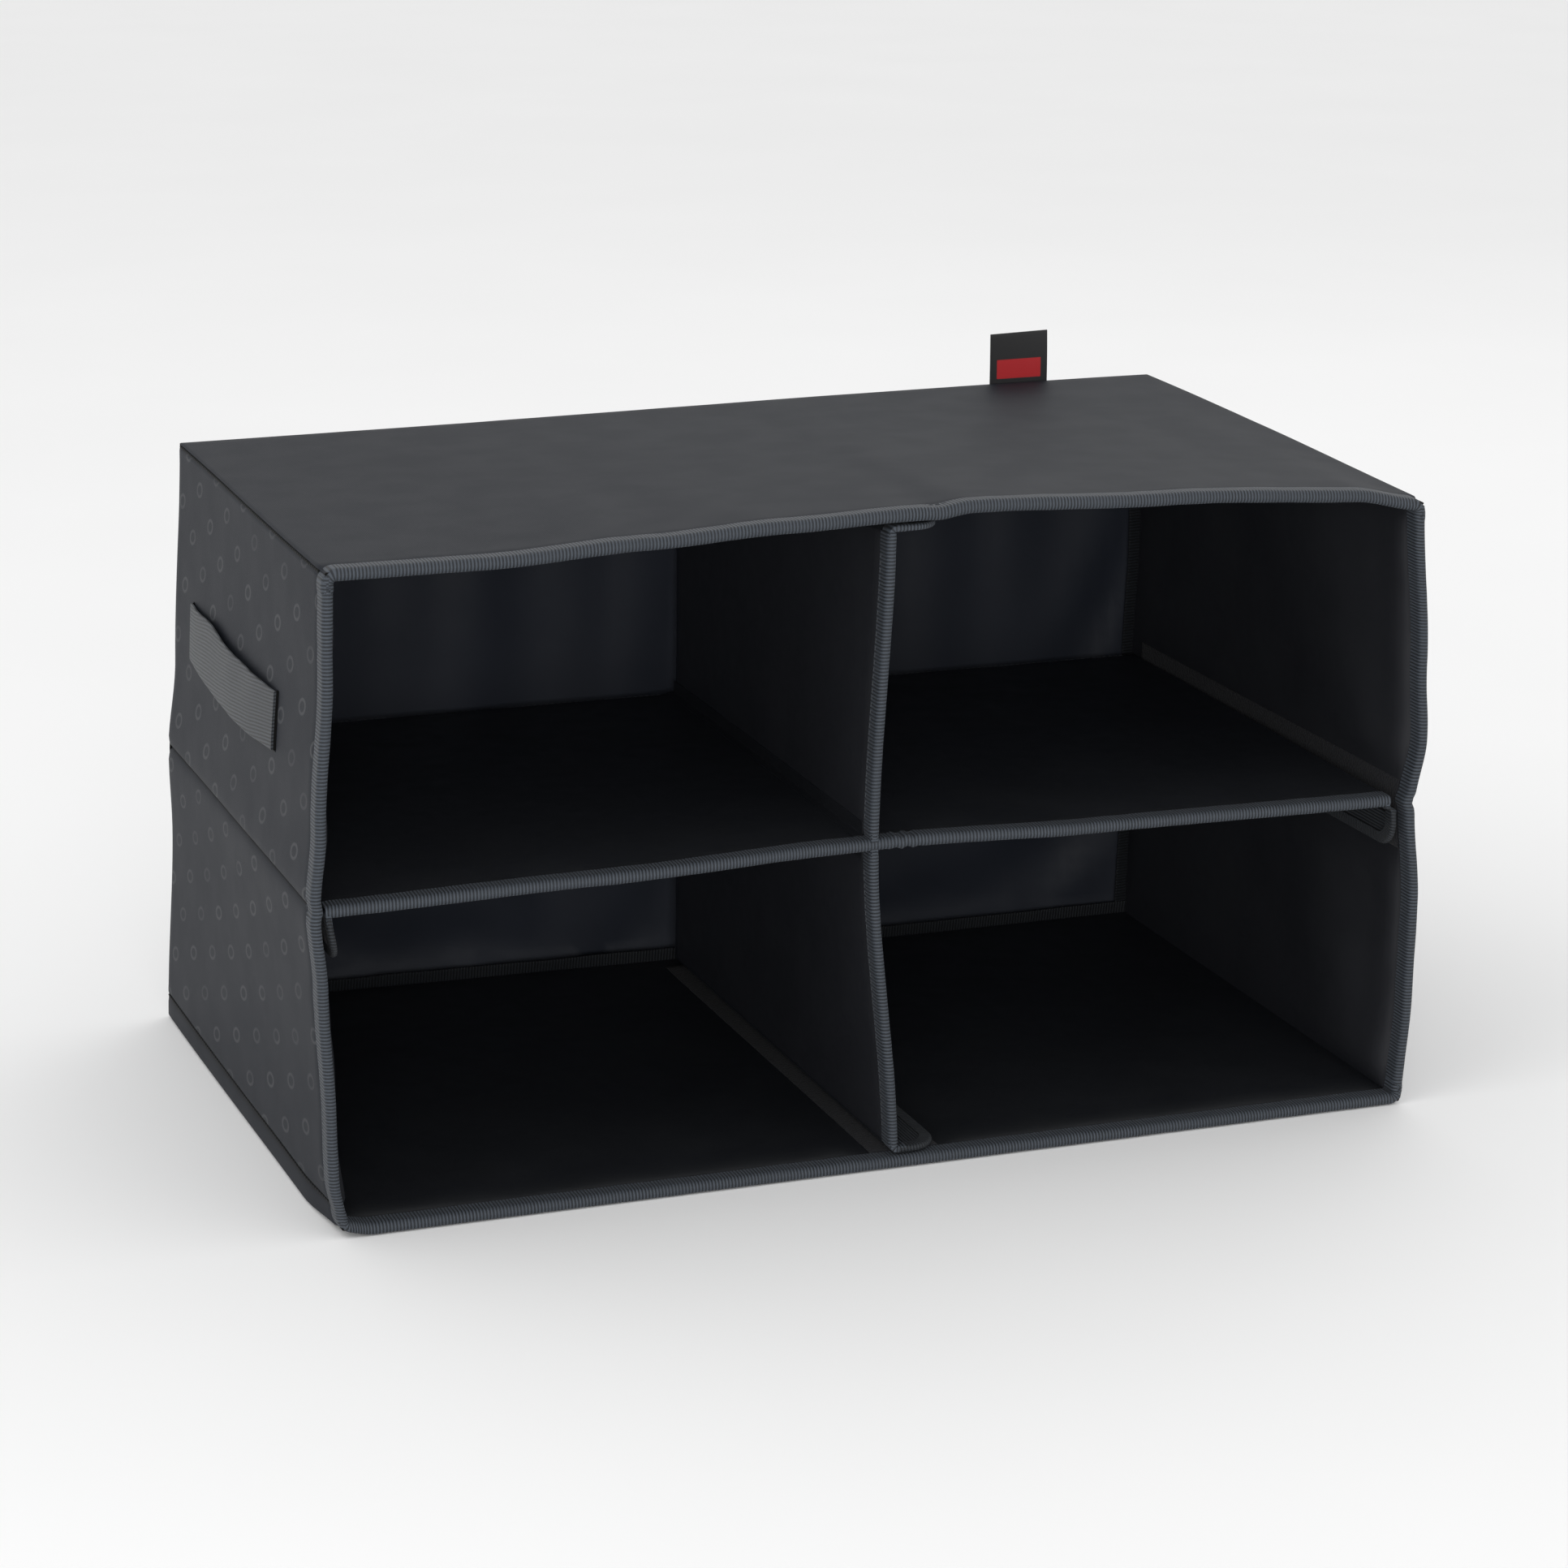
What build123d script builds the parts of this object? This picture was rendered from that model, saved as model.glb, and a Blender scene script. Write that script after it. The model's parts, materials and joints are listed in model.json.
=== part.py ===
from build123d import *

import os

# Foldable textile cupboard organiser: a four-sided sewn tube with a cloth back, stiffened by boards
# slipped between the outer cloth and the lining, and a removable cross-shaped insert (one shelf with a
# divider above and a divider below it) that is held by hook-and-loop flaps.
# Millimetres. The origin is on the floor under the middle of the box. The open front faces -Y, +Z is up.

# Box
width = 600.0
depth = 350.0
height = 340.0
corner_radius = 5.0  # of the outer cloth; the lining has square corners

# Cloth, boards and tapes
cloth = 1.0
board = 3.0
tape = 1.0
tape_cover = 11.0  # how far the binding tape reaches back over each face of a bound edge
panel = 2 * cloth + board
gap = 0.3  # between pieces that move past each other
cut = 4 * cloth  # depth of a cut that goes right through a wall's cloth
cut_play = 0.5  # at each end of a cut, beside the piece that passes through it

# Seams and folds of the tube
turn_up = 14.0  # the bottom cloth is turned up this far onto the side walls
fold_land = 6.0  # from a fold line to the board on either side of it
half_land = 2.0  # from the middle of the box to the boards of the top, the bottom and the shelf
board_set_back = 2.0
board_play = 0.5  # at the front and the back of a board in its pocket
board_side_play = 0.1
seam_tape_width = 8.0
seam_tape = 2.0

# Hook and loop
loop_width = 38.0
loop = 1.0
loop_margin = 8.0  # how far a loop strip shows on the far side of the panel that it holds
loop_length = 320.0
hook_width = 16.0
hook_proud = 1.0
hook_margin = 1.5  # from the flap's binding tape to the end of the hook strip

# Cross-shaped insert
insert_front_set_back = 3.0
insert_back_clearance = 10.0

# Flaps
flap_width = 24.7
flap_core = 1.2
flap_tape = 0.6
flap_tape_cover = 7.0
flap_corner = 10.0
flap = flap_core + 2 * flap_tape

# Carrying handles
webbing_width = 30.0
webbing = 1.6
handle_drop = 95.0  # from the top of the box to the middle of the webbing
handle_front = 95.0  # from the front of the box to the front slit
handle_span = 202.0  # from slit to slit
handle_bow = 14.0
end_run = 6.0  # the outer face of the webbing meets the wall this far beyond the inner face
slit = 2.4
tail = 1.2
tail_length = 35.0
tail_play = 0.2  # behind the tail in its pocket in the board
pocket_margin = 1.0  # of that pocket beyond the tail

# Sewn-in label
label_width = 37.0
label_height = 30.0
label_thickness = 0.8
label_middle = 215.0
label_corner = 1.0
label_root_gap = 0.2  # from the label's caught end to the board under it

half_width = width / 2
front = -depth / 2
back = depth / 2
bound_back = front + tape_cover
tube_back = back - cloth
inner_back = tube_back - cloth
inner_half = half_width - panel
inner_top = height - panel
middle = height / 2

os.makedirs("parts", exist_ok=True)


def write(piece, name):
    """Labels a finished piece and writes its STEP file."""
    piece.label = name
    export_step(piece, f"parts/{name}.step")


def facing_front(y):
    """A plane at depth y that faces the front, with its own x along +X and its own y along +Z."""
    return Plane(origin=(0, y, 0), x_dir=(1, 0, 0), z_dir=(0, -1, 0))


def block(low, high, mode=Mode.ADD):
    """A box from its lowest corner to its highest corner, in the part that is being built."""
    size = [b - a for a, b in zip(low, high)]
    centre = tuple((a + b) / 2 for a, b in zip(low, high))
    with Locations(centre):
        Box(*size, mode=mode)


def sides(low_seam, high_seam):
    """The region of each of the tube's four walls, as lowest and highest (x, z), split at two heights."""
    return {
        "top": ((-half_width, high_seam), (half_width, height)),
        "bottom": ((-half_width, 0), (half_width, low_seam)),
        "left": ((-half_width, low_seam), (0, high_seam)),
        "right": ((0, low_seam), (half_width, high_seam)),
    }


def tube_outline(inset, mode=Mode.ADD):
    """The tube's outline at an inset from its outside, with square corners once the radius is used up."""
    size = (width - 2 * inset, height - 2 * inset)
    if inset < corner_radius:
        RectangleRounded(*size, corner_radius - inset, mode=mode)
    else:
        Rectangle(*size, mode=mode)


def layer(y, outer, inner, region):
    """The tube's cross-section at depth y between two insets from its outside, within one wall's region."""
    (x_low, z_low), (x_high, z_high) = region
    with BuildSketch(facing_front(y)) as section:
        with Locations((0, middle)):
            tube_outline(outer)
            tube_outline(inner, mode=Mode.SUBTRACT)
        with Locations(((x_low + x_high) / 2, (z_low + z_high) / 2)):
            Rectangle(x_high - x_low, z_high - z_low, mode=Mode.INTERSECT)
    return section.sketch


def wall_cloth(inset, tongue_inset, region):
    """One wall's cloth: its flat layer, and the tongue at its front edge that the binding tape covers."""
    with BuildPart() as sheet:
        extrude(layer(tube_back, inset, inset + cloth, region), amount=tube_back - bound_back)
        extrude(
            layer(bound_back + cloth, tongue_inset, tongue_inset + cloth, region),
            amount=bound_back + cloth - front - tape,
        )
    return sheet.part


handle_z = height - handle_drop
handle_ends = (front + handle_front, front + handle_front + handle_span)
slit_ends = (handle_ends[0] - end_run / 2, handle_ends[1] + end_run / 2)

# Outer cloth of the top, bottom and side walls. The side walls have two slits for the handle's webbing,
# and the top has a notch at its back seam for the label.
for wall, region in sides(turn_up, inner_top).items():
    with BuildPart() as cover:
        add(wall_cloth(0, tape, region))
        if wall in ("left", "right"):
            side = -1 if wall == "left" else 1
            with Locations([(side * half_width, y, handle_z) for y in slit_ends]):
                Box(cut, slit, webbing_width + 2 * cut_play, mode=Mode.SUBTRACT)
        if wall == "top":
            with Locations((label_middle, tube_back, height)):
                Box(label_width + 2 * cut_play, 2 * cloth, cut, mode=Mode.SUBTRACT)
    write(cover.part, f"{wall}_cover")

# Lining of the top, bottom and side walls.
for wall, region in sides(panel, inner_top).items():
    with BuildPart() as lining:
        add(wall_cloth(panel - cloth, panel - cloth - tape, region))
    write(lining.part, f"{wall}_lining")

# Binding tape folded over the front edge of each wall.
for wall, region in sides(panel, inner_top).items():
    with BuildPart() as binding:
        extrude(layer(bound_back, 0, panel, region), amount=tape_cover)
        extrude(
            layer(bound_back, tape, panel - tape, region),
            amount=tape_cover - tape,
            mode=Mode.SUBTRACT,
        )
    write(binding.part, f"front_binding_{wall}")

# Cloth back and its lining, with no board between them.
with BuildPart() as back_cover:
    with BuildSketch(facing_front(back)):
        with Locations((0, middle)):
            RectangleRounded(width, height, corner_radius)
    extrude(amount=cloth)
write(back_cover.part, "back_cover")

with BuildPart() as back_lining:
    with BuildSketch(facing_front(tube_back)):
        with Locations((0, middle)):
            Rectangle(2 * inner_half, height - 2 * panel)
    extrude(amount=cloth)
write(back_lining.part, "back_lining")

# Bound seam allowances that stand round the back wall on the inside.
seam_low = (inner_half, panel)
seam_inner = (inner_half - seam_tape_width, panel + seam_tape_width)
seam_boxes = {
    "top": (-seam_low[0], height - seam_inner[1], seam_low[0], height - seam_low[1]),
    "bottom": (-seam_low[0], seam_low[1], seam_low[0], seam_inner[1]),
    "left": (-seam_low[0], seam_inner[1], -seam_inner[0], height - seam_inner[1]),
    "right": (seam_inner[0], seam_inner[1], seam_low[0], height - seam_inner[1]),
}
for wall, (x_low, z_low, x_high, z_high) in seam_boxes.items():
    with BuildPart() as seam:
        block((x_low, inner_back - seam_tape, z_low), (x_high, inner_back, z_high))
    write(seam.part, f"back_seam_tape_{wall}")

# Stiffening boards, in two halves in each wall, so that the walls fold between them.
board_front = bound_back + board_set_back
board_back = tube_back - board_set_back
low_layer = (cloth, cloth + board)
high_layer = (height - cloth - board, height - cloth)
left_layer = (-half_width + cloth, -half_width + cloth + board)
right_layer = (half_width - cloth - board, half_width - cloth)
x_halves = {
    "left": (-half_width + corner_radius, -half_land),
    "right": (half_land, half_width - corner_radius),
}
z_halves = {
    "upper": (middle + fold_land, height - corner_radius),
    "lower": (corner_radius, middle - fold_land),
}
for wall, (z_low, z_high) in {"top": high_layer, "bottom": low_layer}.items():
    for half, (x_low, x_high) in x_halves.items():
        with BuildPart() as flat_board:
            block((x_low, board_front, z_low), (x_high, board_back, z_high))
        write(flat_board.part, f"{wall}_board_{half}")

# The upper side boards have a pocket for each sewn-down tail of the handle's webbing.
tail_runs = (
    (slit_ends[0] - tail_length, slit_ends[0] + slit / 2),
    (slit_ends[1] - slit / 2, slit_ends[1] + tail_length),
)
for wall, (x_low, x_high) in {"left": left_layer, "right": right_layer}.items():
    outside = x_low if wall == "left" else x_high
    inward = 1 if wall == "left" else -1
    pocket_x = sorted((outside, outside + inward * (tail + tail_play)))
    for half, (z_low, z_high) in z_halves.items():
        with BuildPart() as side_board:
            block((x_low, board_front, z_low), (x_high, board_back, z_high))
            if half == "upper":
                for y_low, y_high in tail_runs:
                    block(
                        (pocket_x[0], y_low - pocket_margin, handle_z - webbing_width / 2 - pocket_margin),
                        (pocket_x[1], y_high + pocket_margin, handle_z + webbing_width / 2 + pocket_margin),
                        mode=Mode.SUBTRACT,
                    )
        write(side_board.part, f"{wall}_board_{half}")

    # Tails of the webbing: they come in through the slits and lie flat behind the outer cloth.
    tail_x = sorted((outside, outside + inward * tail))
    leg_x = sorted((outside, outside - inward * cloth))
    with BuildPart() as tails:
        for (y_low, y_high), y_slit in zip(tail_runs, slit_ends):
            z_low = handle_z - webbing_width / 2
            z_high = handle_z + webbing_width / 2
            block((tail_x[0], y_low, z_low), (tail_x[1], y_high, z_high))
            block((leg_x[0], y_slit - webbing / 2, z_low), (leg_x[1], y_slit + webbing / 2, z_high))
    write(tails.part, f"{wall}_handle_tails")

    # The webbing of the handle, bowed away from the wall between the slits.
    wall_x = -inward * (half_width + gap)
    bow_x = wall_x - inward * handle_bow
    y_middle = sum(handle_ends) / 2
    with BuildPart() as handle:
        with BuildSketch(Plane.XY.offset(handle_z - webbing_width / 2)):
            with BuildLine():
                inner_face = ThreePointArc(
                    (wall_x, handle_ends[0]), (bow_x, y_middle), (wall_x, handle_ends[1])
                )
                outer_face = ThreePointArc(
                    (wall_x, handle_ends[0] - end_run),
                    (bow_x - inward * webbing, y_middle),
                    (wall_x, handle_ends[1] + end_run),
                )
                Line(inner_face @ 0, outer_face @ 0)
                Line(inner_face @ 1, outer_face @ 1)
            make_face()
        extrude(amount=webbing_width)
    write(handle.part, f"{wall}_handle")

# Label folded from ribbon and caught in the back seam of the top.
label_root = height - cloth - board + label_root_gap
with BuildPart() as label:
    block(
        (label_middle - label_width / 2, tube_back - label_thickness, label_root),
        (label_middle + label_width / 2, tube_back, height + label_height),
    )
    fillet(label.edges().filter_by(Axis.Y).group_by(Axis.Z)[-1], label_corner)
write(label.part, "label")

# The insert's levels. The flaps lie a gap away from the loop strips, and the dividers reach to the flaps.
shelf_low = middle - panel / 2
shelf_high = middle + panel / 2
insert_front = front + insert_front_set_back
insert_back = back - insert_back_clearance
insert_middle = (insert_front + insert_back) / 2
insert_depth = insert_back - insert_front
insert_bound_back = insert_front + tape_cover
pocket_front = insert_bound_back + cloth
mouth_inset = board / 3  # a pocket's mouth is narrower than the board, by this much on each face
flap_stack = loop + gap + hook_proud + flap
shelf_half = inner_half - loop - gap
flap_hinge_x = inner_half - flap_stack
upper_flap_z = inner_top - flap_stack
lower_flap_z = panel + flap_stack
upper_divider_z = (shelf_high + gap, upper_flap_z - gap)
lower_divider_z = (lower_flap_z + gap, shelf_low - gap)
loop_ends = (insert_middle - loop_length / 2, insert_middle + loop_length / 2)

# Loop strips sewn to the lining where the insert's four flaps are pressed on.
loop_x = (-loop_margin, loop_width - loop_margin)
loop_z = (shelf_high + loop_margin - loop_width, shelf_high + loop_margin)
loop_boxes = {
    "top": (loop_x[0], inner_top - loop, loop_x[1], inner_top),
    "bottom": (loop_x[0], panel, loop_x[1], panel + loop),
    "left": (-inner_half, loop_z[0], -inner_half + loop, loop_z[1]),
    "right": (inner_half - loop, loop_z[0], inner_half, loop_z[1]),
}
for wall, (x_low, z_low, x_high, z_high) in loop_boxes.items():
    with BuildPart() as loop_strip:
        block((x_low, loop_ends[0], z_low), (x_high, loop_ends[1], z_high))
    write(loop_strip.part, f"loop_strip_{wall}")

# The insert's three panels: a cloth sleeve with one or two board pockets that open at its front edge, the
# boards in them, and the binding tape that closes the front edge. Pockets are (x, z) lowest and highest.
panels = {
    "shelf": {
        "": ((-shelf_half, shelf_low), (shelf_half, shelf_high)),
        "_left": ((-shelf_half + cloth, shelf_low + cloth), (-half_land, shelf_high - cloth)),
        "_right": ((half_land, shelf_low + cloth), (shelf_half - cloth, shelf_high - cloth)),
    },
}
for divider, (z_low, z_high) in {"upper": upper_divider_z, "lower": lower_divider_z}.items():
    panels[f"{divider}_divider"] = {
        "": ((-panel / 2, z_low), (panel / 2, z_high)),
        "_only": ((-panel / 2 + cloth, z_low + cloth), (panel / 2 - cloth, z_high - cloth)),
    }


def slab(region, y_low, y_high, inset=0.0, mode=Mode.ADD):
    """A box over a region of (x, z) between two depths, inset all round."""
    (x_low, z_low), (x_high, z_high) = region
    block((x_low + inset, y_low, z_low + inset), (x_high - inset, y_high, z_high - inset), mode)


for name, regions in panels.items():
    outline = regions.pop("")
    lies_flat = name == "shelf"
    with BuildPart() as sleeve:
        slab(outline, insert_bound_back, insert_back)
        slab(outline, insert_front + tape, insert_bound_back, inset=tape)
        for pocket in regions.values():
            slab(pocket, pocket_front, insert_back - cloth, mode=Mode.SUBTRACT)
            (x_low, z_low), (x_high, z_high) = pocket
            mouth = (
                ((x_low + cloth, z_low + mouth_inset), (x_high - cloth, z_high - mouth_inset))
                if lies_flat
                else ((x_low + mouth_inset, z_low + cloth), (x_high - mouth_inset, z_high - cloth))
            )
            slab(mouth, insert_front, pocket_front, mode=Mode.SUBTRACT)
    write(sleeve.part, f"{name}_cover")

    with BuildPart() as binding:
        slab(outline, insert_front, insert_bound_back)
        slab(outline, insert_front + tape, insert_bound_back, inset=tape, mode=Mode.SUBTRACT)
    write(binding.part, f"{name}_binding")

    for half, pocket in regions.items():
        with BuildPart() as stiffener:
            slab(pocket, pocket_front + board_play, insert_back - cloth - board_play, inset=board_side_play)
        write(stiffener.part, f"{name}_board{half.replace('_only', '')}")


# The four flaps. Each has its own plane: x runs from its hinge to its free edge, z towards its loop strip.
flap_planes = {
    "upper": Plane(
        origin=(panel / 2 + gap, insert_middle, upper_flap_z), x_dir=(1, 0, 0), z_dir=(0, 0, 1)
    ),
    "lower": Plane(
        origin=(panel / 2 + gap, insert_middle, lower_flap_z), x_dir=(1, 0, 0), z_dir=(0, 0, -1)
    ),
    "shelf_left": Plane(
        origin=(-flap_hinge_x, insert_middle, shelf_low - gap), x_dir=(0, 0, -1), z_dir=(-1, 0, 0)
    ),
    "shelf_right": Plane(
        origin=(flap_hinge_x, insert_middle, shelf_low - gap), x_dir=(0, 0, -1), z_dir=(1, 0, 0)
    ),
}
flap_layers = (flap_tape, flap_tape + flap_core)


def flap_slab(plane, inset, layers, mode=Mode.ADD):
    """A flap's outline, inset from its three free edges, between two heights over its inner face."""
    reach = flap_width - inset
    with BuildSketch(plane.offset(layers[0])) as outline:
        with Locations((reach / 2, 0)):
            Rectangle(reach, insert_depth - 2 * inset)
        fillet(outline.vertices().group_by(Axis.X)[-1], flap_corner - inset)
    extrude(outline.sketch, amount=layers[1] - layers[0], mode=mode)


for name, plane in flap_planes.items():
    with BuildPart() as core:
        flap_slab(plane, flap_tape, flap_layers)
    write(core.part, f"{name}_flap")

    with BuildPart() as binding:
        flap_slab(plane, 0, (0, flap))
        flap_slab(plane, flap_tape_cover, (0, flap), mode=Mode.SUBTRACT)
        flap_slab(plane, flap_tape, flap_layers, mode=Mode.SUBTRACT)
    write(binding.part, f"{name}_flap_binding")

    with BuildPart() as hook_strip:
        with BuildSketch(plane.offset(flap_layers[1])):
            with Locations((hook_width / 2 + flap_tape, 0)):
                Rectangle(hook_width, insert_depth - 2 * (flap_tape_cover + hook_margin))
        extrude(amount=flap + hook_proud - flap_layers[1])
    write(hook_strip.part, f"{name}_flap_hook")
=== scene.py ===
import json
import math

import bmesh
import bpy
from mathutils import Matrix, Vector, noise

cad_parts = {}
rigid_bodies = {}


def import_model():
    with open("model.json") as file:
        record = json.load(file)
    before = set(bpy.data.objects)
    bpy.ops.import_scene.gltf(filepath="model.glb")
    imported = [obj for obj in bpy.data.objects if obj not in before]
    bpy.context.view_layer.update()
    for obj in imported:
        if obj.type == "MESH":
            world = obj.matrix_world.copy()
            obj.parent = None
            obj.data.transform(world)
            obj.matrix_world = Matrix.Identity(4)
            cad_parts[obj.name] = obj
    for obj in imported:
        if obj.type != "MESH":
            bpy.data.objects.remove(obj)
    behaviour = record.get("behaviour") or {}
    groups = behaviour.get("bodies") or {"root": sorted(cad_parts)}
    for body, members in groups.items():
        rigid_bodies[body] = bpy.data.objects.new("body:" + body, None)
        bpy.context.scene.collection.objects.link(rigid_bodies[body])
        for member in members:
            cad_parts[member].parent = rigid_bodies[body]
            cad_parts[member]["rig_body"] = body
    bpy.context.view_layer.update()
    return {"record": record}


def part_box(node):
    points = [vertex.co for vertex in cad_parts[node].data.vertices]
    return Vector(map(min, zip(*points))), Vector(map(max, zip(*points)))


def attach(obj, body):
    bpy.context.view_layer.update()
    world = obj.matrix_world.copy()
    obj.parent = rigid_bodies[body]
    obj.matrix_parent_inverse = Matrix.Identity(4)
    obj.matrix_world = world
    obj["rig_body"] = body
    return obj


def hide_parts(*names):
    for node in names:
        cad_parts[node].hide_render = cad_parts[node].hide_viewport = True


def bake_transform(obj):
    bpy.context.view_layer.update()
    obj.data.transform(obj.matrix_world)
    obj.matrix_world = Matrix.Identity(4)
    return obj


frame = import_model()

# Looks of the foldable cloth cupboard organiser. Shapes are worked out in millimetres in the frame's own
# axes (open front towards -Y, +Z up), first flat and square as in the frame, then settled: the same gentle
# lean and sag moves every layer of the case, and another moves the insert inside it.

MM = 0.001
scene = bpy.context.scene
slots = {part["node"]: part["material_slot"] for part in frame["record"]["subparts"]}
bodies = {node: body for body, nodes in frame["record"]["behaviour"]["bodies"].items() for node in nodes}


def corners(node):
    """Lowest and highest corner of a frame node, in millimetres."""
    low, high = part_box(node)
    return low / MM, high / MM


# ---- sizes from the frame
BACK_LOW, BACK_HIGH = corners("back_cover")
HALF, HEIGHT = BACK_HIGH.x, BACK_HIGH.z
BACK, TUBE_BACK = BACK_HIGH.y, BACK_LOW.y
INNER_BACK = corners("back_lining")[0].y
FRONT, BOUND_BACK = corners("front_binding_top")[0].y, corners("front_binding_top")[1].y
DEPTH = BACK - FRONT
MIDDLE = HEIGHT / 2
TURN_UP, SEAM_HIGH = corners("left_cover")[0].z, corners("left_cover")[1].z
PANEL = HEIGHT - SEAM_HIGH
CLOTH = BACK - TUBE_BACK
INNER_HALF = HALF - PANEL
CORNER = 2.0  # of the outer cloth
SEAM_TOP = HEIGHT - 2.2  # the top is sewn to the sides just under its edge
TAPE = 0.9
SEAM_DIP = 1.5
HEM_DIP = 0.85  # shallower, because there is a board right behind it
TUCK = 0.95  # how far a cloth steps in where it goes under the front tape
FOLD_Z = MIDDLE + 1
GROOVE = 1.0  # the sewn edge of a cloth is painted in shade this far from its seam, where it lies in shadow
NARROW_RUB = 2.0  # a piece whose wear reaches no further is a tape, and gets no painted groove shade
GRID = 7.0
INSERT_FRONT, INSERT_BACK = corners("shelf_binding")[0].y, corners("shelf_cover")[1].y
INSERT_BOUND_BACK = corners("shelf_binding")[1].y
SHELF_LOW, SHELF_HIGH = corners("shelf_cover")[0], corners("shelf_cover")[1]
UPPER_FOOT, UPPER_TOP = corners("upper_divider_cover")[0].z, corners("upper_divider_cover")[1].z
LOWER_FOOT, LOWER_TOP = corners("lower_divider_cover")[0].z, corners("lower_divider_cover")[1].z
HANDLE_LOW, HANDLE_HIGH = corners("left_handle")
LABEL_LOW, LABEL_HIGH = corners("label")
HANDLE_END_RUN = 6.0


# ---- settling
def share(t):
    """t, kept between 0 and 1."""
    return min(1.0, max(0.0, t))


def smooth(t):
    """A soft step from 0 to 1 as t goes from 0 to 1."""
    t = share(t)
    return t * t * (3 - 2 * t)


def hump(t, width):
    """A soft bump of height 1 at t = 0 that is gone at t = +-width."""
    return smooth(1 - abs(t) / width)


def along(points, t):
    """Soft interpolation through (place, value) points."""
    if t <= points[0][0]:
        return points[0][1]
    for (a, low), (b, high) in zip(points, points[1:]):
        if t <= b:
            return low + (high - low) * smooth((t - a) / (b - a))
    return points[-1][1]


def wave(x, y, z, size, seed=0.0):
    """Smooth noise between about -1 and 1 with features of the given size in millimetres."""
    return noise.noise(Vector((x / size + seed, y / size - seed, z / size + 0.5 * seed)))


FRONT_ARCH = (
    (-300, 2.0), (-217, 2.0), (-135, 6.0), (-60, 9.5), (8, 11.5),
    (22, 11.5), (40, 13.5), (150, 10.0), (300, 3.0),
)
LEFT_KNEE = ((0, 0.0), (60, -1.5), (130, -4.5), (170, -7.5), (210, -4.0), (290, 1.0), (340, 2.0))
RIGHT_KNEE = ((0, 1.5), (60, 5.0), (115, 5.5), (170, 0.5), (205, 6.0), (245, 3.5), (340, -3.0))
LEFT_BACK_KNEE = ((0, -4.0), (120, 0.0), (170, -1.5), (220, 3.0), (340, 7.0))
RIGHT_BACK_KNEE = ((0, 1.0), (100, 3.0), (170, 0.0), (240, 2.5), (340, 0.0))


ARCH_FADE = 1.3  # how fast the front's arch dies out towards the back, as a power
BACK_SKEW = 12.0  # the left wall's rear edge leans back this far at its foot and forwards at its top
REAR_DROOP, REAR_RISE = 7.0, 3.0  # at the left wall's middle, and at the top's right rear corner
CORNER_DROP = 6.0  # of the top's right front corner
CORNER_DROP_FROM = 250.0  # the height where that drop starts
FOOT_SHIFT, FOOT_LIFT = 4.0, 3.0  # of the rounded left front foot


def settle(p):
    """Where a point of the case ends up once the cloth has settled."""
    x, y, z = p
    back = share((y - FRONT) / DEPTH)
    front = 1 - smooth(back)
    side = smooth((x + HALF) / (2 * HALF))
    left = along(LEFT_KNEE, z) * front + along(LEFT_BACK_KNEE, z) * (1 - front)
    right = along(RIGHT_KNEE, z) * front + along(RIGHT_BACK_KNEE, z) * (1 - front)
    high = max(0.0, z / HEIGHT)
    dx = left * (1 - side) + right * side
    dy = (1 - side) ** 2 * smooth(back) * (BACK_SKEW - 2 * BACK_SKEW * high)
    dz = high ** 2 * (along(FRONT_ARCH, x) * (1 - back) ** ARCH_FADE + REAR_RISE * side * back)
    dz -= REAR_DROOP * (1 - side) ** 3 * smooth(back) * hump(z - MIDDLE, 120)
    dz -= CORNER_DROP * hump(x - HALF, 40) * smooth((z - CORNER_DROP_FROM) / 90) * (1 - back) ** 2
    round_foot = hump(x + HALF, 22) * hump(y - FRONT, 60) * hump(z, 30)
    return Vector((x + dx + FOOT_SHIFT * round_foot, y + dy, z + dz + FOOT_LIFT * round_foot))


SHELF_SHIFT = 6.5
INSERT_FADE = 1.5  # how fast the insert's lean dies out towards the back, as a power
INSERT_ARCH = 0.92  # of the case's arch, that the upper divider follows
JOINT_LEAN = ((0, 3.0), (167, -11.0), (173, -11.0), (334, -4.0))
SHELF_RISE = ((-300, 0.0), (-150, 2.5), (-15, 6.5), (12, 7.0), (120, 4.0), (300, 2.5))


def settle_insert(p):
    """Where a point of the insert ends up: its shelf rises at the middle and its dividers lean."""
    x, y, z = p
    back = share((y - FRONT) / DEPTH)
    front = (1 - back) ** INSERT_FADE
    near_middle = hump(x, 90)
    on_shelf = hump(z - MIDDLE, 40)
    if x > 0 and z < SHELF_LOW.z:  # the right flap keeps clear of the shelf when it folds under it
        on_shelf *= 1 - 0.6 * smooth((SHELF_LOW.z - z) / 3)
    sideways = -SHELF_SHIFT * front * on_shelf * (1 - near_middle)
    sideways += along(JOINT_LEAN, z) * front * near_middle
    rise = along(SHELF_RISE, x) * front
    lift = rise * (smooth(z / MIDDLE) if z < MIDDLE else 1.0)
    arch = along(FRONT_ARCH, 0) * (1 - back) ** ARCH_FADE * INSERT_ARCH
    if z > MIDDLE:
        climbed = (z - MIDDLE) / (UPPER_TOP - MIDDLE)
        lift = rise * (1 - climbed) + arch * climbed
    return Vector((x + sideways, y, z + lift))


# ---- outlines
def spaced(low, high, step, marks=()):
    """Values from low to high, no further apart than step, that include the marks."""
    stops = sorted({low, high, *[m for m in marks if low < m < high]})
    values = [low]
    for a, b in zip(stops, stops[1:]):
        count = max(1, math.ceil((b - a) / step - 1e-6))
        values += [a + (b - a) * k / count for k in range(1, count + 1)]
    return values


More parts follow.
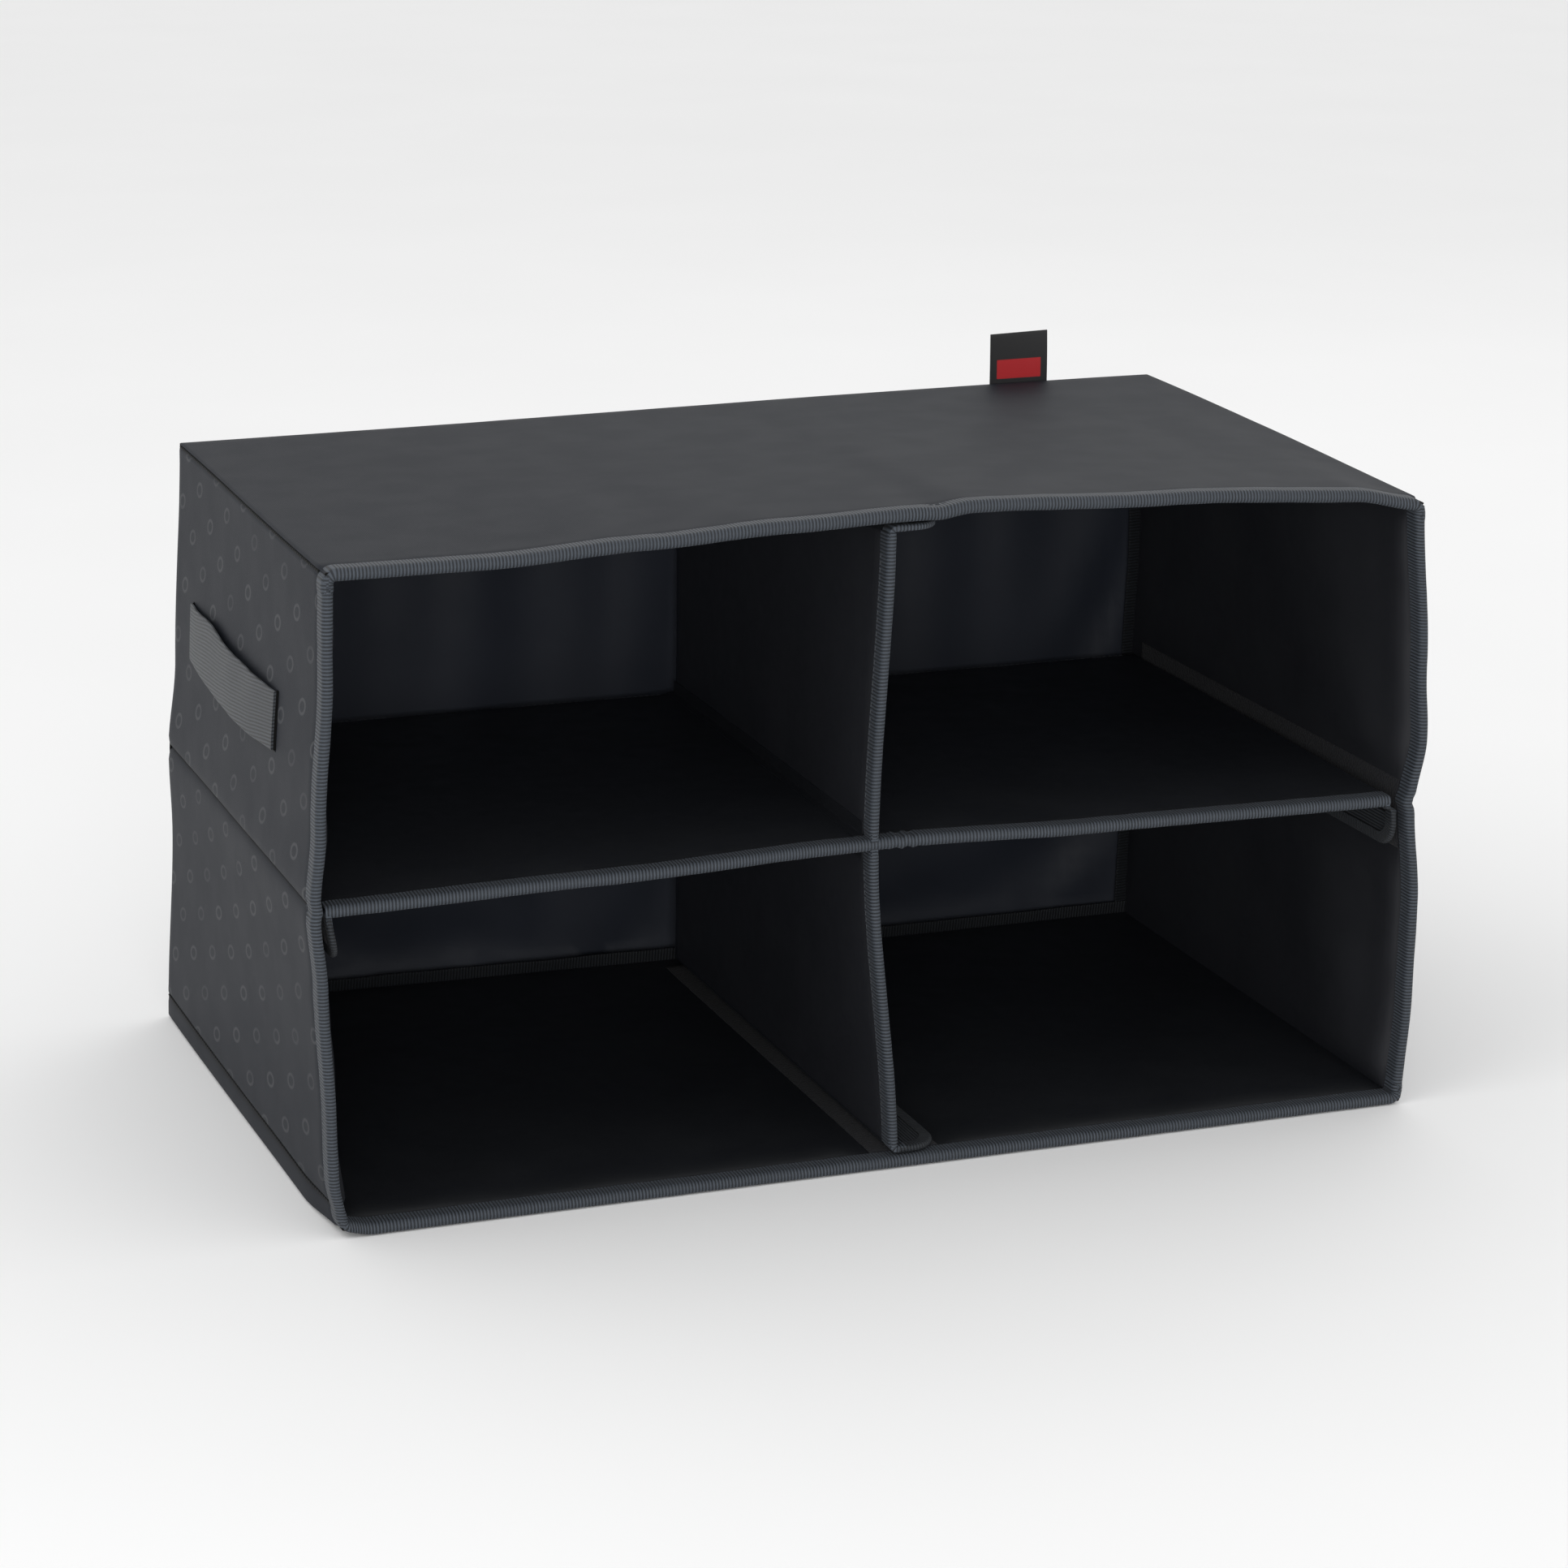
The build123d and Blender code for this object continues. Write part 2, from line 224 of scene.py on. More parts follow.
def rounded_path(points, radius, step, arc_steps=5, marks=()):
    """Samples (point, normal, distance) along straight runs joined by arcs; the normal is on the left."""
    points = [Vector(p) for p in points]
    path, travelled = [], 0.0

    def extend(point, direction):
        nonlocal travelled
        if path:
            travelled += (point - path[-1][0]).length
            if (point - path[-1][0]).length < 1e-6:
                return
        path.append((point, Vector((-direction.y, direction.x)), travelled))

    start = points[0]
    for k in range(1, len(points)):
        direction = (points[k] - points[k - 1]).normalized()
        end, arc = points[k], []
        if k < len(points) - 1:
            onward = (points[k + 1] - points[k]).normalized()
            turn = direction.angle_signed(onward)
            cut = radius * math.tan(abs(turn) / 2)
            end = points[k] - direction * cut
            centre = end + Vector((-direction.y, direction.x)) * math.copysign(radius, -turn)
            for step_number in range(1, arc_steps + 1):
                turned = Matrix.Rotation(-turn * step_number / arc_steps, 2)
                arc.append((centre + turned @ (end - centre), turned @ direction))
        length = (end - start).length
        for distance in spaced(0.0, length, step, marks):
            extend(start + direction * distance, direction)
        for point, heading in arc:
            extend(point, heading)
        start = arc[-1][0] if arc else end
    return path


# ---- meshes
def build(name, points, faces, uvs, wear_and_shade):
    """A smooth-shaded mesh object from points in millimetres, with UVs in metres and a point attribute that
    holds wear and painted shade.
    """
    mesh = bpy.data.meshes.new(name)
    mesh.from_pydata([p * MM for p in points], [], faces)
    layer = mesh.uv_layers.new(name="UVMap")
    flat = [c * MM for face in uvs for uv in face for c in uv]
    layer.data.foreach_set("uv", flat)
    attribute = mesh.attributes.new("wear_and_shade", "FLOAT", "POINT")
    attribute.data.foreach_set("value", wear_and_shade)
    work = bmesh.new()
    work.from_mesh(mesh)
    bmesh.ops.delete(work, geom=[v for v in work.verts if not v.link_faces], context="VERTS")
    bmesh.ops.recalc_face_normals(work, faces=work.faces)
    work.to_mesh(mesh)
    work.free()
    mesh.shade_smooth()
    mesh.set_sharp_from_angle(angle=math.radians(50))
    piece = bpy.data.objects.new(name, mesh)
    scene.collection.objects.link(piece)
    return piece


def thick(name, us, vs, place, closed=False, keep=None, rub_width=5.0, shade=None):
    """A cloth with two faces, joined round every edge. place(i, j, side) gives a point, and side 0 is the
    outside. keep(i, j) says which cells are there, rub_width is how far the wear of an edge reaches, and
    shade(i, j) says how much painted shade a point gets. Unless it is a tape, a cloth is painted in full
    shade within GROOVE of its edges, for the shadow of its seam groove."""
    rows, columns = len(us), len(vs)
    last = rows if closed else rows - 1
    points = [place(i, j, side) for i in range(rows) for j in range(columns) for side in (0, 1)]
    u_at = list(us) + [us[-1] + (us[1] - us[0])]
    paints_groove_shade = rub_width > NARROW_RUB

    def index(i, j, side):
        return ((i % rows) * columns + j) * 2 + side

    def uv(i, j):
        return u_at[i], vs[j]

    kept = {(i, j) for i in range(last) for j in range(columns - 1) if keep is None or keep(i, j)}
    faces, uvs = [], []
    for i, j in sorted(kept):
        ring = ((i, j), (i, j + 1), (i + 1, j + 1), (i + 1, j))
        faces.append([index(*c, 0) for c in ring])
        uvs.append([uv(*c) for c in ring])
        faces.append([index(*c, 1) for c in reversed(ring)])
        uvs.append([uv(*c) for c in reversed(ring)])
        neighbours = ((i - 1, j), (i, j + 1), (i + 1, j), (i, j - 1))
        for (a, b), (ni, nj) in zip(zip(ring, ring[1:] + ring[:1]), neighbours):
            if ((ni % rows if closed else ni), nj) not in kept:
                faces.append([index(*a, 0), index(*a, 1), index(*b, 1), index(*b, 0)])
                uvs.append([uv(*a), uv(*a), uv(*b), uv(*b)])
    wear_and_shade = []
    for i in range(rows):
        for j in range(columns):
            edge = min(vs[j] - vs[0], vs[-1] - vs[j])
            if not closed:
                edge = min(edge, us[i] - us[0], us[-1] - us[i])
            worn = smooth(1 - edge / rub_width)
            dark = shade(i, j) if shade else 0.0
            # painted shade: a cloth's edge lies down in its seam's groove, so it is painted dark
            if paints_groove_shade and edge < GROOVE:
                dark = 1.0
            # one value per point: wear above 0, painted shade below 0
            wear_and_shade += [worn * (1 - dark) - dark] * 2
    return build(name, points, faces, uvs, wear_and_shade)


def finish_piece(piece, node, material=None):
    """Gives a piece its material, slot and body, and lets it stand for its frame node."""
    piece.data.materials.append(materials[material or slots[node]])
    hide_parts(node)
    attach(piece, bodies[node])
    return piece


def sew(name, node, us, vs, place, material=None, **options):
    """A finished two-faced cloth that stands for a frame node."""
    return finish_piece(thick(name, us, vs, place, **options), node, material)


# ---- materials
class Recipe:
    """A small helper that writes a node material with a Principled shader."""

    def __init__(self, name, **constants):
        self.material = bpy.data.materials.new(name)
        self.material.use_nodes = True
        self.tree = self.material.node_tree
        self.shader = self.tree.nodes["Principled BSDF"]
        for socket, value in constants.items():
            self.shader.inputs[socket.replace("_", " ")].default_value = value
        self.uv = self.add("ShaderNodeTexCoord").outputs["UV"]
        self.place = self.add("ShaderNodeTexCoord").outputs["Object"]

    def add(self, kind, inputs=None, **settings):
        node = self.tree.nodes.new(kind)
        for key, value in settings.items():
            setattr(node, key, value)
        for key, value in (inputs or {}).items():
            if isinstance(value, bpy.types.NodeSocket):
                self.tree.links.new(value, node.inputs[key])
            else:
                node.inputs[key].default_value = value
        return node

    def math(self, operation, a, b=0.0, c=0.0):
        return self.add("ShaderNodeMath", {0: a, 1: b, 2: c}, operation=operation).outputs[0]

    def noise(self, scale, detail=2.0, where=None, roughness=0.5):
        settings = {"Vector": where or self.place, "Scale": scale, "Detail": detail, "Roughness": roughness}
        return self.add("ShaderNodeTexNoise", settings).outputs["Fac"]

    def steps(self, value, low, high, to_low=0.0, to_high=1.0):
        settings = {"Value": value, "From Min": low, "From Max": high, "To Min": to_low, "To Max": to_high}
        return self.add("ShaderNodeMapRange", settings, interpolation_type="SMOOTHSTEP").outputs["Result"]

    def blend(self, factor, a, b):
        node = self.add("ShaderNodeMix", data_type="RGBA")
        for number, value in ((0, factor), (6, a), (7, b)):
            if isinstance(value, bpy.types.NodeSocket):
                self.tree.links.new(value, node.inputs[number])
            else:
                node.inputs[number].default_value = value
        return node.outputs[2]

    def mottle(self, scale, base, other, most=1.0):
        """The base with soft patches of the other colour, at most that share of it."""
        return self.blend(self.steps(self.noise(scale, 3), 0.3, 0.7, 0.0, most), base, other)

    def split_uv(self):
        node = self.add("ShaderNodeSeparateXYZ", {"Vector": self.uv})
        return node.outputs["X"], node.outputs["Y"]

    def ribs(self, value, pitch):
        """A wave between 0 and 1 that repeats every pitch metres."""
        turned = self.math("SINE", self.math("MULTIPLY", value, 2 * math.pi / pitch))
        return self.math("MULTIPLY_ADD", turned, 0.5, 0.5)

    def finish(self, colour, bumps, roughness=None):
        self.tree.links.new(colour, self.shader.inputs["Base Color"])
        if roughness is not None:
            self.tree.links.new(roughness, self.shader.inputs["Roughness"])
        normal = None
        for height, distance, strength in bumps:
            inputs = {"Height": height, "Distance": distance, "Strength": strength}
            if normal is not None:
                inputs["Normal"] = normal
            normal = self.add("ShaderNodeBump", inputs).outputs["Normal"]
        self.tree.links.new(normal, self.shader.inputs["Normal"])
        return self.material


def tone(colour, factor=1.0):
    """A colour for a socket, made lighter or darker by a factor."""
    return (*(c * factor for c in colour), 1.0)


def woven(recipe, pitch):
    """Height of a plain weave, from the UVs in metres."""
    u, v = recipe.split_uv()
    return recipe.math("MULTIPLY", recipe.ribs(u, pitch), recipe.ribs(v, pitch))


OVAL_SPACING = 0.071  # along a row of the printed pattern
OVAL_SHIFT, OVAL_DROP = 0.028, 0.0147  # from one row to the next
OVAL_SIZE = (0.0068, 0.0047)
OVAL_SLANT = 0.35
OVAL_GREY = (0.062, 0.065, 0.070)
# painted shade for the seam grooves and the side walls' fold
PAINTED_GROOVE_SHADE = (0.002, 0.002, 0.002)
FAR_CELL = 100.5  # keeps the counted cells positive


def printed_ovals(recipe):
    """A faint pattern of oval outlines in slanting rows: 1 on the outlines, 0 elsewhere."""

    def calc(operation, *values):
        return recipe.math(operation, *values)

    def from_cell_middle(value):
        return calc("SUBTRACT", calc("FRACT", calc("ADD", value, FAR_CELL)), 0.5)

    u, v = recipe.split_uv()
    row = calc("DIVIDE", u, OVAL_DROP)
    place = calc("DIVIDE", calc("MULTIPLY_ADD", row, -OVAL_SHIFT, v), OVAL_SPACING)
    row_off = from_cell_middle(row)
    place_off = from_cell_middle(calc("MULTIPLY_ADD", row_off, OVAL_SHIFT / OVAL_SPACING, place))
    across = calc("MULTIPLY", place_off, OVAL_SPACING / OVAL_SIZE[0])
    upward = calc("MULTIPLY", row_off, OVAL_DROP / OVAL_SIZE[1])
    leaned = calc("MULTIPLY_ADD", upward, OVAL_SLANT, across)
    distance = calc("SQRT", calc("ADD", calc("POWER", leaned, 2), calc("POWER", upward, 2)))
    ring = recipe.steps(calc("ABSOLUTE", calc("SUBTRACT", distance, 0.82)), 0.26, 0.10)
    return calc("MULTIPLY", ring, recipe.steps(recipe.noise(28, 1), 0.35, 0.6, 0.55, 1.0))


def coated_cloth(name, colour, printed=False):
    """Charcoal woven polyester with a satin coating: painted shade at seam grooves and folds where the point
    attribute is -1, and worn paler where it is 1.
    """
    recipe = Recipe(name, Specular_IOR_Level=0.12)
    weave = woven(recipe, 0.0009)
    base = recipe.mottle(9, tone(colour, 0.98), tone(colour, 1.02))
    # painted highlight: the crests of the weave are painted paler
    base = recipe.blend(recipe.steps(weave, 0.0, 1.0, 0.0, 0.22), base, tone(colour, 1.6))
    wear_and_shade = recipe.add("ShaderNodeAttribute", attribute_name="wear_and_shade").outputs["Fac"]
    patchy = recipe.steps(recipe.noise(60, 3), 0.4, 0.7, 0.05, 0.3)
    worn = recipe.math("MULTIPLY", recipe.steps(wear_and_shade, 0.0, 1.0), patchy)
    base = recipe.blend(worn, base, tone(colour, 1.6))
    # painted shade: seam grooves and folds are painted near-black where the attribute is below 0
    base = recipe.blend(recipe.steps(wear_and_shade, -0.1, -0.9), base, tone(PAINTED_GROOVE_SHADE))
    roughness = recipe.steps(recipe.noise(35, 3), 0.3, 0.7, 0.57, 0.60)
    if printed:
        base = recipe.blend(recipe.math("MULTIPLY", printed_ovals(recipe), 0.7), base, tone(OVAL_GREY))
    bumps = [(recipe.noise(9, 1), 0.001, 0.02), (weave, 0.0002, 0.3)]
    return recipe.finish(base, bumps, roughness)


def lining_cloth(name, colour):
    """Near-black coated lining with a cool sheen and fine limp wrinkles."""
    recipe = Recipe(name, Sheen_Weight=0.01, Sheen_Roughness=0.4, Specular_IOR_Level=0.18)
    recipe.shader.inputs["Sheen Tint"].default_value = tone((0.55, 0.65, 1.0))
    weave = woven(recipe, 0.0006)
    base = recipe.mottle(11, tone(colour, 0.92), tone(colour, 1.08))
    # painted highlight: the crests of the weave are painted paler
    base = recipe.blend(recipe.steps(weave, 0.0, 1.0, 0.0, 0.15), base, tone(colour, 2.0))
    roughness = recipe.steps(recipe.noise(26, 3), 0.3, 0.7, 0.46, 0.6)
    bumps = [(recipe.noise(16, 2), 0.004, 0.08), (recipe.noise(70, 2), 0.0006, 0.08), (weave, 0.00015, 0.25)]
    return recipe.finish(base, bumps, roughness)


RIB_PITCH = 0.0018
PALE_RIB, DARK_RIB = 1.7, 0.3  # painted highlight on the crest of a rib and painted shade between ribs, as shares of the tape's colour


def grosgrain(name, colour):
    """Ribbed tape: the ribs cross the tape, with painted highlight on their crests and painted shade between
    them.
    """
    recipe = Recipe(name, Sheen_Weight=0.04, Sheen_Roughness=0.4, Specular_IOR_Level=0.3, Roughness=0.6)
    u, v = recipe.split_uv()
    ribs = recipe.ribs(u, RIB_PITCH)
    threads = recipe.ribs(v, 0.0005)
    base = recipe.blend(recipe.steps(ribs, 0.05, 0.75), tone(colour, DARK_RIB), tone(colour, PALE_RIB))
    base = recipe.mottle(40, base, tone(colour), 0.35)
    bumps = [(ribs, 0.0006, 0.8), (threads, 0.0001, 0.3), (recipe.noise(120, 2), 0.0006, 0.15)]
    return recipe.finish(base, bumps)


def twill_webbing(name, colour):
    """Webbing woven in a slanting twill whose ridges climb slowly along the strap."""
    recipe = Recipe(name, Sheen_Weight=0.05, Sheen_Roughness=0.4, Specular_IOR_Level=0.35, Roughness=0.58)
    u, v = recipe.split_uv()
    twill = recipe.ribs(recipe.math("MULTIPLY_ADD", v, -0.10, u), RIB_PITCH)
    threads = recipe.ribs(v, 0.0011)
    height = recipe.math("MULTIPLY_ADD", threads, 0.25, twill)
    # painted highlight on the twill's ridges and painted shade between them
    base = recipe.blend(recipe.steps(height, 0.1, 1.1), tone(colour, DARK_RIB), tone(colour, PALE_RIB))
    base = recipe.mottle(50, base, tone(colour), 0.4)
    return recipe.finish(base, [(height, 0.0005, 0.8), (recipe.noise(150, 2), 0.0005, 0.2)])


def napped(name, colour):
    """Hook-and-loop tape: a short fuzzy nap."""
    recipe = Recipe(name, Sheen_Weight=0.06, Sheen_Roughness=0.6, Specular_IOR_Level=0.2, Roughness=0.85)
    fuzz = recipe.noise(900, 4, roughness=0.7)
    tufts = recipe.add("ShaderNodeTexVoronoi", {"Vector": recipe.place, "Scale": 700.0}).outputs["Distance"]
    base = recipe.blend(recipe.steps(fuzz, 0.35, 0.65), tone(colour, 0.5), tone(colour, 1.6))
    return recipe.finish(base, [(tufts, 0.001, 0.5), (fuzz, 0.0006, 0.4)])


def fibreboard(name, colour):
    """Grey-brown pressed board with speckles and short fibres."""
    recipe = Recipe(name, Specular_IOR_Level=0.25, Roughness=0.82)
    specks = recipe.noise(420, 4, roughness=0.7)
    fibres = recipe.noise(60, 5, roughness=0.65)
    base = recipe.blend(recipe.steps(fibres, 0.35, 0.65), tone(colour, 0.8), tone(colour, 1.15))
    base = recipe.blend(recipe.steps(specks, 0.55, 0.7, 0.0, 0.6), base, tone(colour, 0.45))
    return recipe.finish(base, [(specks, 0.0004, 0.4)])


def label_ribbon(name, colour):
    """Black satin ribbon with a plain red block woven into its lower half."""
    recipe = Recipe(name, Sheen_Weight=0.03, Specular_IOR_Level=0.45, Roughness=0.42)
    u, v = recipe.split_uv()
    low, high, half_wide, edge = 0.0030, 0.0140, 0.0139, 0.0006
    from_middle = recipe.math("ABSOLUTE", u)
    inside = recipe.math("MULTIPLY", recipe.steps(v, low, low + edge), recipe.steps(v, high + edge, high))
    inside = recipe.math("MULTIPLY", inside, recipe.steps(from_middle, half_wide + edge, half_wide))
    threads = recipe.math("MULTIPLY", recipe.ribs(u, 0.0005), recipe.ribs(v, 0.0004))
    # painted sheen: the satin's threads are painted paler on their crests
    shine = recipe.steps(threads, 0.0, 1.0)
    black = recipe.blend(shine, tone(colour, 0.7), tone(colour, 1.8))
    red = recipe.blend(shine, tone((0.36, 0.006, 0.010)), tone((0.52, 0.015, 0.02)))
    return recipe.finish(recipe.blend(inside, black, red), [(threads, 0.0001, 0.4)])


def sewing_thread(name, colour):
    """Polyester thread with its twist."""
    recipe = Recipe(name, Sheen_Weight=0.04, Specular_IOR_Level=0.4, Roughness=0.5)
    twist = recipe.ribs(recipe.split_uv()[0], 0.0008)
    # painted highlight and shade along the thread's twist
    base = recipe.blend(twist, tone(colour, 0.7), tone(colour, 1.3))
    return recipe.finish(base, [(twist, 0.0001, 0.5)])


NEAR_BLACK = (0.0010, 0.0011, 0.0013)  # painted shade: near-black for what lies down in a slit or a seam, where hardly any light gets in
materials = {
    "outer_cloth": coated_cloth("outer_cloth_woven", (0.0118, 0.0140, 0.0192)),
    "printed_cloth": coated_cloth("outer_cloth_printed", (0.0135, 0.0157, 0.0210), printed=True),
    "lining_cloth": lining_cloth("lining_cloth_coated", (0.0105, 0.0113, 0.0128)),
    # painted light: a lighter, bluer copy of the lining for the back, which faces the front light
    "back_lining": lining_cloth("lining_cloth_back_painted_light", (0.0150, 0.0175, 0.0245)),
    # painted light: a lighter copy of the lining for the side walls and the dividers, which catch the side
    # light
    "side_lining_painted_light": lining_cloth("lining_cloth_side_painted_light", (0.0165, 0.0172, 0.0200)),
    "binding_tape": grosgrain("binding_tape_grosgrain", (0.033, 0.039, 0.048)),
    "inner_tape": grosgrain("binding_tape_inner", (0.0065, 0.0078, 0.0098)),
    "flap_tape": grosgrain("binding_tape_flap", (0.012, 0.0145, 0.018)),
    "webbing": twill_webbing("webbing_twill", (0.031, 0.035, 0.040)),
    # painted shade: the strap's ends, seen down in their slits, are made near-black
    "webbing_painted_shade": coated_cloth("webbing_painted_shade", NEAR_BLACK),
    "hook_and_loop": napped("hook_and_loop_nap", (0.0055, 0.0060, 0.0085)),
    "board": fibreboard("board_fibre", (0.20, 0.17, 0.135)),
    "label": label_ribbon("label_ribbon_satin", (0.010, 0.010, 0.011)),
    # painted shade: near-black for the tubes in the outer seams
    "seam_shade": coated_cloth("seam_shade", NEAR_BLACK),
    "thread": sewing_thread("sewing_thread", (0.030, 0.034, 0.040)),
}


# ---- case: cloths
def wall_points(wall, inset, low_seam, high_seam):
    """Corners (x, z) of one wall's run round the case, clockwise from the front, so that left is outside."""
    side, top, bottom = HALF - inset, HEIGHT - inset, inset
    return {
        "left": [(-side, low_seam), (-side, high_seam)],
        "top": [(-side, high_seam), (-side, top), (side, top), (side, high_seam)],
        "right": [(side, high_seam), (side, low_seam)],
        "bottom": [(side, low_seam), (side, bottom), (-side, bottom), (-side, low_seam)],
    }[wall]


def seam_dip(distance, reach=3.0):
    """How far cloth is pulled in at a seam, as a share, at a distance from it."""
    return smooth(1 - distance / reach)


def under_tape(y, tape_end=BOUND_BACK):
    """1 under the front tape, 0 behind its end."""
    return smooth((tape_end + 1 - y) / 2)


def crease(wall, z):
    """Depth of the fold line across the middle of a side wall: a sharp groove in a soft valley."""
    if wall in ("top", "bottom"):
        return 0.0
    return 1.1 * hump(z - FOLD_Z, 7) + 1.5 * hump(z - FOLD_Z, 1.6)


SLIT_YS = (HANDLE_LOW.y + HANDLE_END_RUN / 2, HANDLE_HIGH.y - HANDLE_END_RUN / 2)
SLIT_HALF = 1.3
FRONT_SLIT_OPEN = 3.0  # the front slit gapes more, because the strap pulls at it
SLITS = (
    (SLIT_YS[0] - FRONT_SLIT_OPEN, SLIT_YS[0] + SLIT_HALF),
    (SLIT_YS[1] - SLIT_HALF, SLIT_YS[1] + SLIT_HALF),
)
SEAM_STOPS = (0.6, 1.6, 3)  # grid lines this near a seam draw its groove
FOLD_STOPS = (-7, -4, -2, -0.8, 0, 0.8, 2, 4, 7)
HAIR = 0.01  # for comparing places on the grid


def cover_wall(wall):
    """The outer cloth of one wall, with its seams, and on the side walls the fold and the handle's slits."""
    node = f"{wall}_cover"
    slit_low, slit_high = HANDLE_LOW.z - 0.5, HANDLE_HIGH.z + 0.5
    sided = wall in ("left", "right")
    if sided:
        marks = [TURN_UP + k for k in SEAM_STOPS] + [SEAM_TOP - k for k in SEAM_STOPS]
        marks += [FOLD_Z + k for k in FOLD_STOPS] + [slit_low, slit_high]
        x, normal = (-HALF, Vector((-1, 0))) if wall == "left" else (HALF, Vector((1, 0)))
        path = [(Vector((x, z)), normal, z) for z in spaced(TURN_UP, SEAM_TOP, GRID, marks)]
    else:
        path = rounded_path(wall_points(wall, 0, TURN_UP, SEAM_TOP), CORNER, GRID, marks=SEAM_STOPS)
    marks = [BOUND_BACK - 1, BOUND_BACK + 1.5, TUBE_BACK - 1, TUBE_BACK - 3]
    if sided:
        marks += [y + k * SLIT_HALF for y in SLIT_YS for k in (-1, 1)] + [SLITS[0][0]]
    ys = spaced(FRONT + 1.5, TUBE_BACK, GRID, marks)
    us = [s for _, _, s in path]

    def depth(i, j, side):
        point, _, s = path[i]
        y = ys[j]
        nearest = min(s - us[0], us[-1] - s)
        dip = (HEM_DIP if point.y < MIDDLE else SEAM_DIP) * seam_dip(nearest, 1.7)
        dip = max(dip, 0.6 * SEAM_DIP * seam_dip(TUBE_BACK - y))
        dip -= 0.35 * hump(nearest - 2.6, 2.2)  # the cloth swells beside its seam
        tuck = TUCK * under_tape(y)
        wrinkle = 0.4 * wave(point.x, y, point.y, 120, 3) + 0.05 * wave(point.x, y, point.y, 23, 8)
        wrinkle += 0.5 * hump(y - BOUND_BACK - 6, 14) * wave(point.x, 0, point.y, 26, 5)
        free = share(1.5 - dip)
        foot = share(point.y / 8) if wall == "bottom" else 1.0
        return max(dip, tuck) + crease(wall, point.y) + side * CLOTH - min(0.9, wrinkle) * free * foot

    def place(i, j, side):
        point, normal, _ = path[i]
        spot = point - normal * depth(i, j, side)
        return settle((spot.x, ys[j], max(spot.y, 0.0) if side == 0 else spot.y))

    def keep(i, j):
        if sided:
            low, high = sorted((path[i][0].y, path[i + 1][0].y))
            in_height = low >= slit_low - HAIR and high <= slit_high + HAIR
            return not (in_height and any(a - HAIR <= ys[j] and ys[j + 1] <= b + HAIR for a, b in SLITS))
        near_label = LABEL_LOW.x - 0.5 < path[i][0].x < LABEL_HIGH.x - GRID
        return not (wall == "top" and near_label and ys[j + 1] > LABEL_LOW.y)

    # painted shade along the fold line across a side wall
    def fold_shade(i, j):
        return 0.8 * hump(path[i][0].y - FOLD_Z, 1.4)

    material, shade = ("printed_cloth", fold_shade) if sided else (None, None)
    piece = sew(f"{node}_sewn", node, us, ys, place, material, keep=keep, shade=shade)


def near_loop(wall, point):
    """1 where a loop strip is sewn on, 0 away from it: the lining lies flat there."""
    low, high = corners(f"loop_strip_{wall}")
    value, a, b = (point.x, low.x, high.x) if wall in ("top", "bottom") else (point.y, low.z, high.z)
    return smooth(1 - max(0.0, a - value, value - b) / 18)


def lining_wall(wall):
    """The lining of one wall: slack between its seams, flat under its loop strip, folded at the sides."""
    node = f"{wall}_lining"
    ends = wall_points(wall, PANEL, PANEL, HEIGHT - PANEL)
    ends = ends[1:3] if len(ends) == 4 else ends
    path = rounded_path(ends, 1.0, GRID, marks=(1.2, 3))
    us = [s for _, _, s in path]
    marks = (BOUND_BACK - 1, BOUND_BACK + 1, BOUND_BACK + 4, INNER_BACK - 3)
    ys = spaced(FRONT + 2.0, INNER_BACK, GRID, marks)

    def side_fullness(y, z):
        """The bulges behind the front tape, and a fold that slants back and up from the front."""
        fullness = 0.6 + 0.5 * wave(0, 0, z, 55, 21) + 0.25 * wave(0, 0, z, 17, 5)
        crest = FRONT + (30 + 130 * (z - MIDDLE) / MIDDLE if z > MIDDLE else 40 + 80 * z / MIDDLE)
        sweep = smooth((y - FRONT) / (crest - FRONT)) * (1 - smooth((y - crest) / 120))
        return 3.6 * hump(y - BOUND_BACK - 8, 22) * fullness, 6.5 * sweep

    def place(i, j, side):
        point, normal, s = path[i]
        y = ys[j]
        border = max(seam_dip(s - us[0], 12), seam_dip(us[-1] - s, 12), seam_dip(INNER_BACK - y, 12))
        tuck = TUCK * under_tape(y)
        free = (1 - border) * (1 - near_loop(wall, point))
        slack = 1.0 + 0.9 * wave(point.x, y, point.y, 60, 11) + 0.5 * wave(point.x, y, point.y, 24, 17)
        belly = 0.9 * free * slack
        if wall == "bottom":
            belly += 1.6 * free * hump(y - BOUND_BACK - 9, 20)
        if wall in ("left", "right"):
            belly += free * sum(side_fullness(y, point.y))
        rise = max(0.0, belly) * (1 - smooth((BOUND_BACK + 3 - y) / 4))
        spot = point - normal * (rise - tuck - (1 - side) * CLOTH)
        return settle((spot.x, y, spot.y))

    # painted light: the side walls get the lighter copy of the lining
    material = "side_lining_painted_light" if wall in ("left", "right") else None
    piece = sew(f"{node}_sewn", node, us, ys, place, material)


# ---- case: back cloth
BACK_STEP = 9.0
BACK_XS = spaced(-HALF + 1, HALF - 1, BACK_STEP)
BACK_ZS = spaced(1, HEIGHT - 1, BACK_STEP)
BACK_FRAMES = 30  # of the simulation
MOST_SAG = 7.0


